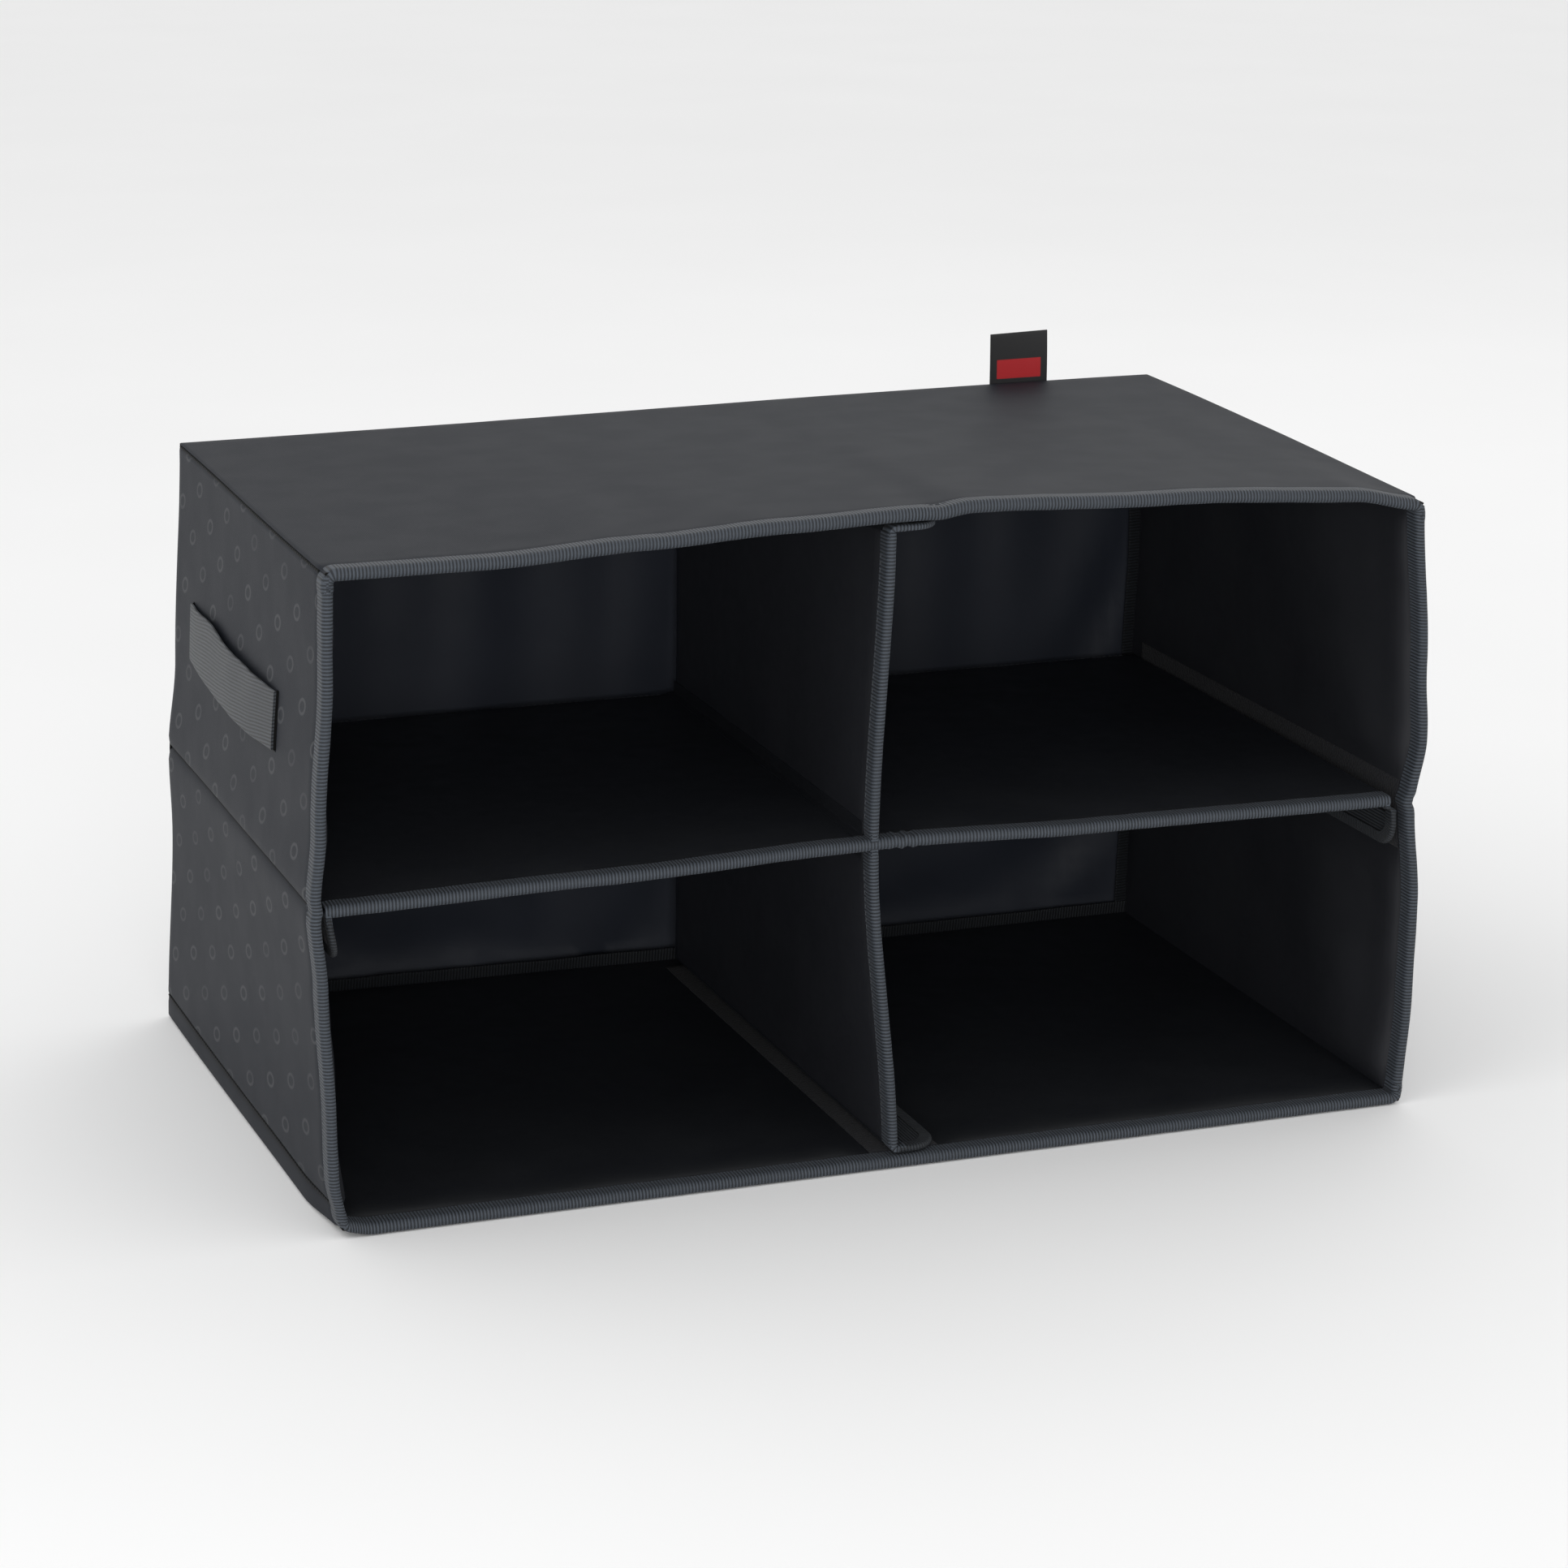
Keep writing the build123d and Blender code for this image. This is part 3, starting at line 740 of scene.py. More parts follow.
def limp_back():
    """How far the cloth back sags out of its plane, from a cloth simulation pinned round its border."""
    rows, columns = len(BACK_XS), len(BACK_ZS)

    def index(i, j):
        return i * columns + j

    start = [(x * MM, wave(x, 0, z, 90, 2) * MM, z * MM) for x in BACK_XS for z in BACK_ZS]
    faces = [
        (index(i, j), index(i + 1, j), index(i + 1, j + 1), index(i, j + 1))
        for i in range(rows - 1)
        for j in range(columns - 1)
    ]
    mesh = bpy.data.meshes.new("back_cloth")
    mesh.from_pydata(start, [], faces)
    cloth_object = bpy.data.objects.new("back_cloth", mesh)
    scene.collection.objects.link(cloth_object)
    border = [
        index(i, j)
        for i in range(rows)
        for j in range(columns)
        if i in (0, rows - 1) or j in (0, columns - 1)
    ]
    cloth_object.vertex_groups.new(name="sewn").add(border, 1.0, "REPLACE")
    cloth = cloth_object.modifiers.new("Cloth", "CLOTH")
    cloth.settings.vertex_group_mass = "sewn"
    cloth.settings.shrink_min = -0.006
    cloth.settings.mass = 0.2
    cloth.settings.bending_stiffness = 2.0
    cloth.settings.quality = 6
    cloth.point_cache.frame_start, cloth.point_cache.frame_end = 1, BACK_FRAMES
    for number in range(1, BACK_FRAMES + 1):
        scene.frame_set(number)
    settled = cloth_object.evaluated_get(bpy.context.evaluated_depsgraph_get()).to_mesh()
    sag = {
        (i, j): max(-MOST_SAG, min(MOST_SAG, settled.vertices[index(i, j)].co.y / MM))
        for i in range(rows)
        for j in range(columns)
    }
    bpy.data.objects.remove(cloth_object)
    scene.frame_set(1)
    return sag


def back_sheet(node, sag, y_outer, inset, corner):
    """One of the two cloths of the back; both follow the same sag, so they never cross."""
    side, top = HALF - inset, HEIGHT - inset

    def place(i, j, face):
        x = max(-side, min(side, BACK_XS[i]))
        z = max(inset, min(top, BACK_ZS[j]))
        reach_x, reach_z = side - abs(x), min(z - inset, top - z)
        if reach_x < corner and reach_z < corner:
            away = Vector((corner - reach_x, corner - reach_z))
            if away.length > corner:
                away *= corner / away.length
                x = math.copysign(side - corner + away.x, x)
                z = top - corner + away.y if z > MIDDLE else inset + corner - away.y
        dip = 1.2 * seam_dip(min(reach_x, reach_z), 3) if node == "back_cover" else 0.0
        return settle((x, y_outer + sag[i, j] - face * CLOTH - dip, z))

    # painted light: the back lining gets the lighter, bluer copy of the lining
    material = "back_lining" if node == "back_lining" else None
    piece = sew(f"{node}_sewn", node, BACK_XS, BACK_ZS, place, material)


def back_seam_tape(wall):
    """A narrow bound seam allowance that stands a little off the corner between the back and a wall."""
    node = f"back_seam_tape_{wall}"
    low, high = corners(node)
    lies = wall in ("top", "bottom")
    runs = spaced(*((low.x, high.x) if lies else (low.z, high.z)), 6.0)
    reach = high.z - low.z if lies else high.x - low.x
    outline = rounded_path([(0, -0.8), (reach - 0.4, -0.8), (reach - 0.4, 0.8), (0, 0.8)], 0.75, 2.0)
    vs = [s for _, _, s in outline]

    def place(i, j, side):
        point, normal, _ = outline[j]
        spot = point + normal * side * 0.5
        waver = 0.5 * wave(runs[i], 0, 0, 30, len(wall))
        out = spot.x + waver * spot.x / reach
        y = INNER_BACK - 1.1 + spot.y - 0.35 * max(0.0, out) * (0.6 + 0.4 * wave(runs[i], 9, 0, 45, 6))
        if lies:
            z = low.z + out if wall == "bottom" else high.z - out
            return settle((runs[i], y, z))
        x = low.x + out if wall == "left" else high.x - out
        return settle((x, y, runs[i]))

    sew(f"{node}_sewn", node, runs, vs, place, "inner_tape")


# ---- binding tapes
def folded_tape(node, route, half_gap, reach, nose, move):
    """Tape folded over an edge. route gives (point, outward normal, distance) in the plane across the depth,
    half_gap is half the thickness of what it covers, and its legs go from its nose back to reach."""
    radius = half_gap + TAPE * 0.98
    legs = half_gap + TAPE
    section = [(reach, legs), (nose, legs), (nose, -legs), (reach, -legs)]
    outline = rounded_path(section, radius, 2.5, arc_steps=4)
    us, vs = [s for _, _, s in route], [s for _, _, s in outline]

    def place(i, j, side):
        point, normal, s = route[i]
        spot, across, _ = outline[j]
        leg_end = smooth((spot.x - nose) / (reach - nose))
        spot = spot + across * side * TAPE
        end_squeeze = 1 - 0.12 * max(seam_dip(s - us[0], 2), seam_dip(us[-1] - s, 2))
        waver = 0.35 * wave(point.x, 0, point.y, 18, 3) + 0.3 * wave(point.x, 0, point.y, 7, 9)
        back = spot.x + waver * leg_end - 0.25 * wave(point.x, 2, point.y, 35, 5) * (1 - leg_end)
        out = spot.y * end_squeeze * (1 + 0.05 * wave(point.x, 5, point.y, 12, 1))
        return move(point, normal, back, out)

    sew(f"{node}_sewn", node, us, vs, place, rub_width=1.5)


LAP = 7.0  # the tape of the top and bottom laps over the tape of the sides


def front_binding(wall):
    """The tape over the front edge of one wall."""
    node = f"front_binding_{wall}"
    over = wall in ("top", "bottom")
    middle_inset = PANEL / 2
    seams = (PANEL + LAP, SEAM_HIGH - LAP) if over else (middle_inset + 0.5, HEIGHT - middle_inset - 0.5)
    route = rounded_path(wall_points(wall, middle_inset, *seams), 4.2, 3.0)
    half_gap = PANEL / 2 - TAPE + (0.75 if over else 0.3)

    def move(point, normal, back, out):
        z = point.y
        pinch = 0.6 * hump(z - MIDDLE - 1, 5) if not over else 0.0
        pinch += 0.45 * hump(point.x - 22, 9) if wall == "top" else 0.0
        spot = point + normal * (out - pinch - 1.2 * crease(wall, z) / 2)
        return settle((spot.x, back + pinch, max(spot.y, 0.05)))

    folded_tape(node, route, half_gap, BOUND_BACK, FRONT + 0.1, move)


# ---- boards, hook and loop
def slab(node, suffix, thin, step, rim, place_at, trim=0.0):
    """A flat piece in its frame node's box, thin along that axis, with a grid line a rim inside its edges.
    place_at(spot, side, edge) moves a point at that distance from the edge, and trim is cut off its low
    end in x."""
    low, high = corners(node)
    low.x += trim
    first, second = [a for a in range(3) if a != thin]
    us = spaced(low[first], high[first], step, (low[first] + rim, high[first] - rim))
    vs = spaced(low[second], high[second], step, (low[second] + rim, high[second] - rim))

    def place(i, j, side):
        edge = min(us[i] - us[0], us[-1] - us[i], vs[j] - vs[0], vs[-1] - vs[j])
        spot = [0.0, 0.0, 0.0]
        spot[first], spot[second] = us[i], vs[j]
        spot[thin] = high[thin] if side == 0 else low[thin]
        return place_at(spot, side, edge)

    sew(f"{node}_{suffix}", node, us, vs, place)


def board_slab(node, move, recess=None):
    """A stiffening board with softened edges that follows the wall it is in."""
    low, high = corners(node)
    thin = min(range(3), key=lambda a: (high - low)[a])

    def place_at(spot, side, edge):
        ease = 0.6 if edge < 0.3 else 0.0
        spot[thin] += ease if side else -ease
        return move(recess(spot, side) if recess else spot)

    slab(node, "slab", thin, 12, 0.6, place_at)


def nap_strip(node, move, thin, trim=0.0):
    """A strip of hook or loop tape: a soft-edged pad with an uneven nap."""
    first, second = [a for a in range(3) if a != thin]

    def place_at(spot, side, edge):
        ease = 0.3 if edge < 0.4 else 0.0
        rough = 0.12 * abs(wave(spot[first], spot[second], 0, 3.1, 2))
        spot[thin] = spot[thin] + ease + rough if side else spot[thin] - ease - rough
        return move(spot)

    slab(node, "nap", thin, 4.5, 0.8, place_at, trim)


# ---- handles
WEBBING = 1.5
STRAP_BOW = 0.27  # how far the strap bows out, of the room that its frame node has
SPINE_STEP = 0.01  # for the strap's direction


def handle(wall):
    """The carrying strap: flat webbing bowed out from the wall, drooping a little under its own weight."""
    node = f"{wall}_handle"
    low, high = corners(node)
    sign = -1 if wall == "left" else 1
    wall_x = min(abs(low.x), abs(high.x))
    bow = STRAP_BOW * (high.x - low.x - 1.6)
    half_span = (high.y - low.y) / 2 - HANDLE_END_RUN / 2
    centre_y = (high.y + low.y) / 2
    us = spaced(-1.0, 1.0, 0.04)
    width = high.z - low.z
    vs = spaced(0.0, width, 2.5, (0.7, width - 0.7))

    def spine(t):
        """Distance from the wall and place along it, as t goes from the rear slit to the front slit."""
        s_bend = 0.22 * math.sin(math.pi * (t + 0.15)) * (1 - t * t)
        return bow * (1 - abs(t) ** 2.0 - s_bend), centre_y + half_span * t

    def place(i, j, side):
        t = -us[i]
        out, y = spine(t)
        ahead = spine(t + SPINE_STEP)
        tangent = Vector((ahead[0] - out, ahead[1] - y)).normalized()
        normal = Vector((abs(tangent.y), -tangent.x * math.copysign(1, tangent.y)))
        thickness = WEBBING * (0.55 if min(vs[j], width - vs[j]) < 0.4 else 1.0)
        offset = thickness / 2 * (1 if side == 0 else -1)
        height = vs[j] / width
        droop = -1.2 * (1 - t * t) ** 1.5 + 2.0 * hump(t - 0.45, 0.4) * vs[j] / width
        tilt = 1.6 * (height - 0.5) * (1 - t * t) + 0.8 * hump(t + 0.35, 0.3) * height
        spot_x = wall_x + 0.9 + out + normal.x * offset - tilt
        spot_y = y + normal.y * offset
        z = low.z + vs[j] + droop + 0.5 * wave(spot_y, vs[j], 0, 30, 4)
        wall_point = settle((sign * HALF, spot_y, z))
        return wall_point + Vector((sign * (spot_x - HALF), 0, 0))

    lengths = [0.0]
    for a, b in zip(us, us[1:]):
        (x0, y0), (x1, y1) = spine(-a), spine(-b)
        lengths.append(lengths[-1] + math.hypot(x1 - x0, y1 - y0))
    piece = sew(f"{node}_strap", node, lengths, vs, place)
    for loop in piece.data.uv_layers[0].data:  # the webbing's weave runs along it
        loop.uv = (loop.uv[1], loop.uv[0])
    piece.parent = None
    del piece["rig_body"]
    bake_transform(piece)


TAIL_LENGTH = 35.0


def handle_tails(wall):
    """The sewn-down ends of the strap, behind the cloth, each with a short leg out through its slit, made
    near-black as painted shade.
    """
    node = f"{wall}_handle_tails"
    low, high = corners(node)
    sign = -1 if wall == "left" else 1
    zs = spaced(low.z, high.z, 5)
    pieces = []
    for number, y_slit in enumerate(SLIT_YS):
        outward = -1 if number == 0 else 1
        tail_end = y_slit + outward * TAIL_LENGTH
        route = rounded_path([(HALF + 0.6, y_slit), (HALF - 1.7, y_slit), (HALF - 1.7, tail_end)], 0.8, 4)
        lengths = [s for _, _, s in route]

        def place(i, j, side):
            point, normal, _ = route[i]
            spot = point + normal * (0.5 if side == 0 else -0.5)
            return settle((sign * spot.x, spot.y, zs[j]))

        pieces.append(thick(f"{node}_{number}", lengths, zs, place))
    with bpy.context.temp_override(active_object=pieces[0], selected_editable_objects=pieces):
        bpy.ops.object.join()
    pieces[0].name = f"{node}_sewn"
    finish_piece(pieces[0], node, "webbing_painted_shade")


# ---- label
def label():
    """A ribbon folded double, caught in the back seam of the top, curling a little backwards."""
    half_wide = (LABEL_HIGH.x - LABEL_LOW.x) / 2
    middle_x, middle_y = (LABEL_HIGH.x + LABEL_LOW.x) / 2, (LABEL_LOW.y + LABEL_HIGH.y) / 2
    visible = LABEL_HIGH.z - HEIGHT - 0.4
    us = spaced(-half_wide, half_wide, 3, (-half_wide + 0.6, half_wide - 0.6))
    fold, foot = 0.42, -3.2
    route = rounded_path([(fold, foot), (fold, visible), (-fold, visible), (-fold, foot)], 0.4, 2.0)
    vs = [point.y for point, _, _ in route]
    lengths = [s for _, _, s in route]

    def place(i, j, side):
        point, normal, _ = route[j]
        spot = point + normal * (0.28 if side == 0 else 0.0)
        curl = 0.9 * (point.y / visible) ** 2 * (1 + 0.4 * us[i] / half_wide)
        skew = 0.02 * (us[i] + half_wide) * max(0.0, point.y / visible)
        return settle((middle_x + us[i], middle_y - spot.x + curl, HEIGHT - 0.8 + spot.y + skew))

    piece = sew("label_ribbon", "label", us, lengths, place)
    for loop in piece.data.loops:
        column = (loop.vertex_index // 2) % len(lengths)
        piece.data.uv_layers[0].data[loop.index].uv[1] = max(0.0, vs[column]) * MM


# ---- insert
INSERT_TUCK = 0.85  # how far a sleeve steps in under its front tape
SHELF_MARKS = (-9, -4, 0, 4, 9, 16, 24, 32)  # in x, at the dividers' folds and the gathers beside them


def sleeve(name, turned, low, high, front_gathers=0.0):
    """A cloth sleeve round a board: a flat tube in cross-section, pinched into a seam at its back end.
    turned is True for an upright divider and False for the shelf."""
    node = f"{name}_cover"
    half_thick = PANEL / 2
    wide_low, wide_high = (low.z, high.z) if turned else (low.x, high.x)
    wide_low, wide_high = wide_low + half_thick, wide_high - half_thick
    centre = (low.x + high.x) / 2 if turned else (low.z + high.z) / 2
    runs = spaced(wide_low, wide_high, 8.0, () if turned else SHELF_MARKS)
    loop = []  # of (place across the panel, place in its thickness, and the normal there)
    for end, sign, flat in ((wide_high, 1, runs), (wide_low, -1, runs[::-1])):
        loop += [(wide, sign * half_thick, 0.0, sign * 1.0) for wide in flat]
        for angle in [math.pi / 2 * k / 3 for k in range(1, 6)]:
            over, up = sign * math.sin(angle), sign * math.cos(angle)
            loop.append((end + half_thick * over, half_thick * up, over, up))
    us = [0.0]
    for a, b in zip(loop, loop[1:]):
        us.append(us[-1] + math.hypot(b[0] - a[0], b[1] - a[1]))
    marks = (INSERT_BOUND_BACK - 1, INSERT_BOUND_BACK + 1, high.y - 3, high.y - 1)
    ys = spaced(low.y + 1.5, high.y, 8.0, marks)

    def place(i, j, side):
        wide, thick_at, normal_wide, normal_thick = loop[i]
        y = ys[j]
        pinch = 0.55 * smooth((y - high.y + 3.5) / 3.5)
        tuck = INSERT_TUCK * under_tape(y, INSERT_BOUND_BACK)
        free = (1 - pinch) * (1 - smooth((INSERT_BOUND_BACK + 3 - y) / 4))
        puff = (0.25 + 0.3 * wave(wide, y, thick_at * 9, 45, 7)) * free
        depth = tuck + side * CLOTH - max(0.0, puff) * abs(normal_thick)
        if front_gathers and normal_thick > 0:
            slanted = wide - 0.35 * (y - INSERT_FRONT)
            ridge = math.sin(slanted * 0.55) * hump(slanted - 14, 20)
            depth -= front_gathers * ridge * hump(y - INSERT_FRONT, 46)
        across = (thick_at - normal_thick * depth) * (1 - pinch)
        wide_at = wide - normal_wide * depth
        if turned:
            return settle_insert((centre - across, y, wide_at))
        return settle_insert((wide_at, y, centre + across))

    # painted light: the dividers get the lighter copy of the lining
    piece = sew(f"{node}_sewn", node, us, ys, place, "side_lining_painted_light" if turned else None, closed=True)


def insert_binding(name, turned):
    """Tape folded over the front edge of the shelf or of a divider."""
    node = f"{name}_binding"
    low, high = corners(node)
    if turned:
        centre = (low.x + high.x) / 2
        points = [(centre, low.z + 0.6), (centre, high.z - 0.6)]
    else:
        centre = (low.z + high.z) / 2
        points = [(low.x + 0.6, centre), (high.x - 0.6, centre)]
    route = rounded_path(points, 1.0, 3.0)

    def move(point, normal, back, out):
        gathers = 0.0 if turned else 0.7 * math.sin(point.x * 1.15) * hump(point.x - 17, 15)
        spot = point + normal * (out + gathers)
        return settle_insert((spot.x, back - 0.5 * abs(gathers), spot.y))

    half_gap = PANEL / 2 - TAPE + (0.2 if turned else 0.6)
    folded_tape(node, route, half_gap, INSERT_BOUND_BACK, low.y - 0.1, move)


FLAPS = {  # each flap's axis and direction away from its fold, and those towards its hidden face
    "upper_flap": (0, 1, 2, 1),
    "lower_flap": (0, 1, 2, -1),
    "shelf_left_flap": (2, -1, 0, -1),
    "shelf_right_flap": (2, -1, 0, 1),
}
FLAP_CORNER = 17.0
HALF_CORE, SEEN_CORE = 0.75, 1.35  # half of a flap's thickness; the lower flap is seen from its free side
FLAP_START = 5.0  # the cloth of the hinge fills the rest
UPPER_FLAP_START = 7.0
RIM = 0.9  # from a flap's edge to the middle of its tape
FLAP_TAPE, FLAP_TAPE_REACH = 1.7, 6.0  # how far a flap's tape stands off its middle and reaches back


def flap(name):
    """A flap's padded core, the tape folded over its three free edges, and its hook strip."""
    run_axis, run_sign, up_axis, up_sign = FLAPS[name]
    upper = name == "upper_flap"
    low, high = corners(f"{name}_binding")
    y_low, y_high = low.y, high.y
    reach = high[run_axis] - low[run_axis]
    hinge = low[run_axis] if run_sign > 0 else high[run_axis]
    middle_up = (low[up_axis] + high[up_axis]) / 2
    free_side = SEEN_CORE if name == "lower_flap" else HALF_CORE
    start = UPPER_FLAP_START if upper else FLAP_START

    def move(run, y, up):
        spot = [0.0, y, 0.0]
        spot[run_axis] = hinge + run_sign * run
        spot[up_axis] = middle_up + up_sign * up
        return settle_insert(spot)

    runs = spaced(start, reach - 1.0, 3.0)
    ys = spaced(0.0, 1.0, 1 / 48)

    def core_place(i, j, side):
        run = runs[i]
        shy = max(0.0, run - (reach - FLAP_CORNER))
        arc = FLAP_CORNER - math.sqrt(max(0.0, (FLAP_CORNER - 0.5) ** 2 - shy ** 2)) if shy else 0.5
        inset = 1.0 + arc - 0.5
        y = y_low + inset + (y_high - y_low - 2 * inset) * ys[j]
        puff = 0.15 * wave(run, y, 0, 20, 5)
        return move(run, y, HALF_CORE + puff if side == 0 else -free_side - puff)

    core_ys = [y * (y_high - y_low) for y in ys]
    core = sew(f"{name}_core", name, runs, core_ys, core_place, "flap_tape")

    first, last, outer = y_low + RIM, y_high - RIM, reach - RIM
    outline = [(0.0, first), (outer, first), (outer, last), (0.0, last)]
    route = rounded_path(outline, FLAP_CORNER - RIM, 3.0, arc_steps=7)
    reach_back, off = -FLAP_TAPE_REACH, FLAP_TAPE
    profile = rounded_path([(reach_back, off), (RIM, off), (RIM, -off), (reach_back, -off)], 1.6, 2.0)

    def tape_place(i, j, side):
        point, normal, s = route[i]
        spot, across, _ = profile[j]
        spot = spot - across * side * 0.55
        waver = 0.3 * wave(s, 0, 0, 9, 3) * smooth(-spot.x / FLAP_TAPE_REACH)
        at = point - normal * (spot.x + waver)
        return move(at.x, at.y, spot.y)

    node = f"{name}_binding"
    lengths, widths = [[s for _, _, s in line] for line in (route, profile)]
    sew(f"{node}_sewn", node, lengths, widths, tape_place, None if upper else "flap_tape", rub_width=1.2)
    nap_strip(f"{name}_hook", settle_insert, up_axis, start - 3.0 if upper else 0.0)


# ---- hinges
def hinge_cloth(name, route, y_ends, start, end, slot, thickness):
    """A strip of cloth sewn across a fold. route is its section (x, z), from the first body to the second."""
    path = rounded_path(route, 0.75 * max(thickness, 1.2), 1.2)
    us = [s for _, _, s in path]
    y_low, y_high = y_ends
    vs = spaced(y_low, y_high, 8.0, (y_low + 0.6, y_high - 0.6))

    def place(i, j, side):
        point, normal, _ = path[i]
        soft = 0.82 if j in (0, len(vs) - 1) else 1.0
        spot = point + normal * thickness * soft * (0.5 if side == 0 else -0.5)
        return settle_insert((spot.x, vs[j], spot.y))

    piece = thick(name, us, vs, place)
    piece.data.materials.append(materials[slot])
    a, b = settle_insert((start[0], 0.0, start[1])), settle_insert((end[0], 0.0, end[1]))
    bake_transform(piece)


FOOT_FILL, FLAP_FILL, SIDE_STRIP = 4.2, 3.1, 0.6  # thicknesses of the cloth at the folds


def hinges():
    """The cloth that joins the insert's panels and flaps, each strip shaped across one fold as it lies at
    rest.
    """
    face = PANEL / 2
    front, back = INSERT_FRONT + 0.4, INSERT_BACK - 0.5
    folds = []  # of (piece name, the two bodies, section, start of the bend, its end, thickness)
    feet = (("upper_divider", UPPER_FOOT, SHELF_HIGH.z, 1), ("lower_divider", LOWER_TOP, SHELF_LOW.z, -1))
    for name, at, shelf, turn in feet:
        route = [(0, shelf - turn * 2), (0, at + turn * 3)]
        start, end = (0, shelf - turn * 0.5), (0, at + turn * 2.5)
        folds.append((f"{name}_foot", ("insert", name), route, start, end, FOOT_FILL))
    flap_ends = (
        ("upper", UPPER_TOP, corners("upper_flap_binding")[1].z, 1),
        ("lower", LOWER_FOOT, corners("lower_flap_binding")[0].z, -1),
    )
    for name, at, far, turn in flap_ends:
        level = (at + far) / 2
        route = [(-0.4, at - turn * 4), (-0.4, level), (face + 4.5, level)]
        start, end = (-0.4, at - turn * 1.5), (face + 3, level)
        joined = (f"{name}_divider", f"{name}_flap")
        folds.append((f"{name}_flap_hinge", joined, route, start, end, FLAP_FILL))
    flap_low, flap_high = corners("shelf_right_flap_binding")
    for side, sign in (("left", -1), ("right", 1)):
        at = sign * (flap_low.x + flap_high.x) / 2
        route = [(at - sign * 5, MIDDLE), (at, MIDDLE), (at, SHELF_LOW.z - 4)]
        start, end = (at - sign * 2, MIDDLE), (at, SHELF_LOW.z - 3)
        name = f"shelf_{side}_flap"
        folds.append((f"{name}_hinge", ("insert", name), route, start, end, FLAP_FILL))
    strips = (
        ("lining_cloth", "cloth", (INSERT_BOUND_BACK, back)),
        ("binding_tape", "tape", (front, INSERT_BOUND_BACK)),
    )
    for slot, tag, y_ends in strips:
        for name, joined, route, start, end, thickness in folds:
            hinge_cloth(f"{name}_{tag}", route, y_ends, start, end, slot, thickness)
    y_ends = (INSERT_BOUND_BACK + 1, back)
    for name, at, shelf, turn in feet:
        for side, sign in (("left", -1), ("right", 1)):
            beside, level = sign * (face + 0.45), shelf + turn * 0.4
            route = [(beside + sign * 5, level), (beside, level), (beside, at + turn * 7)]
            start, end = (sign * (face + 3), shelf), (sign * face, at + turn * 5)
            joined = ("insert", name)
            hinge_cloth(f"{name}_foot_{side}", route, y_ends, start, end, "lining_cloth", SIDE_STRIP)


# ---- stitching
STITCH, STITCH_PITCH, STITCH_RADIUS = 2.5, 3.6, 0.26
STITCH_SIDES = 5
STITCH_RINGS = ((-0.5, 0.35), (-0.3, 1.0), (0.3, 1.0), (0.5, 0.35))  # (share of the length, of the radius)


def stitches(name, body, lines, radius=STITCH_RADIUS, length_each=STITCH, finish="thread"):
    """Rows of short stitches. Each line is a function from a distance to (point, normal), and a length."""
    points, faces, uvs = [], [], []
    sides, last = range(STITCH_SIDES), len(STITCH_RINGS) - 1
    for line, length in lines:
        for number in range(int(length / STITCH_PITCH)):
            middle = (number + 0.5) * STITCH_PITCH
            centre, normal = line(middle)
            ahead = line(middle + 0.5)[0]
            direction = (ahead - centre).normalized()
            across = direction.cross(normal).normalized()
            up = across.cross(direction)
            first = len(points)
            for place, swell in STITCH_RINGS:
                spine = centre + direction * length_each * place
                sink = 0.25 * abs(place) * 2
                for k in sides:
                    angle = 2 * math.pi * k / STITCH_SIDES
                    offset = across * math.cos(angle) + up * math.sin(angle)
                    points.append(spine + offset * radius * swell - up * sink * 0.4)
            for level in range(last):
                ring = first + level * STITCH_SIDES
                for k in sides:
                    a, b = ring + k, ring + (k + 1) % STITCH_SIDES
                    faces.append([a, b, b + STITCH_SIDES, a + STITCH_SIDES])
                    uvs.append([(level, k), (level, k + 1), (level + 1, k + 1), (level + 1, k)])
            for start in (first, first + last * STITCH_SIDES):
                faces.append([start + k for k in sides])
                uvs.append([(0.0, k) for k in sides])
    piece = build(name, points, faces, uvs, [0.0] * len(points))
    piece.data.materials.append(materials[finish])
    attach(piece, body)


def row(fixed, start, length, axis, normal, move=settle):
    """A straight row of stitches along one axis, moved as its cloth is, and its length."""

    def line(distance):
        spot = list(fixed)
        spot[axis] = start + distance
        a = move(spot)
        b = move([c + n for c, n in zip(spot, normal)])
        return a, (b - a).normalized()

    return line, length


FROM_TAPE_EDGE = 1.6  # from the binding tape's edge to its stitches
ON_TAPE = 0.55  # how far the top's and bottom's tape stands off the cloth
ON_SIDE_TAPE = 0.15


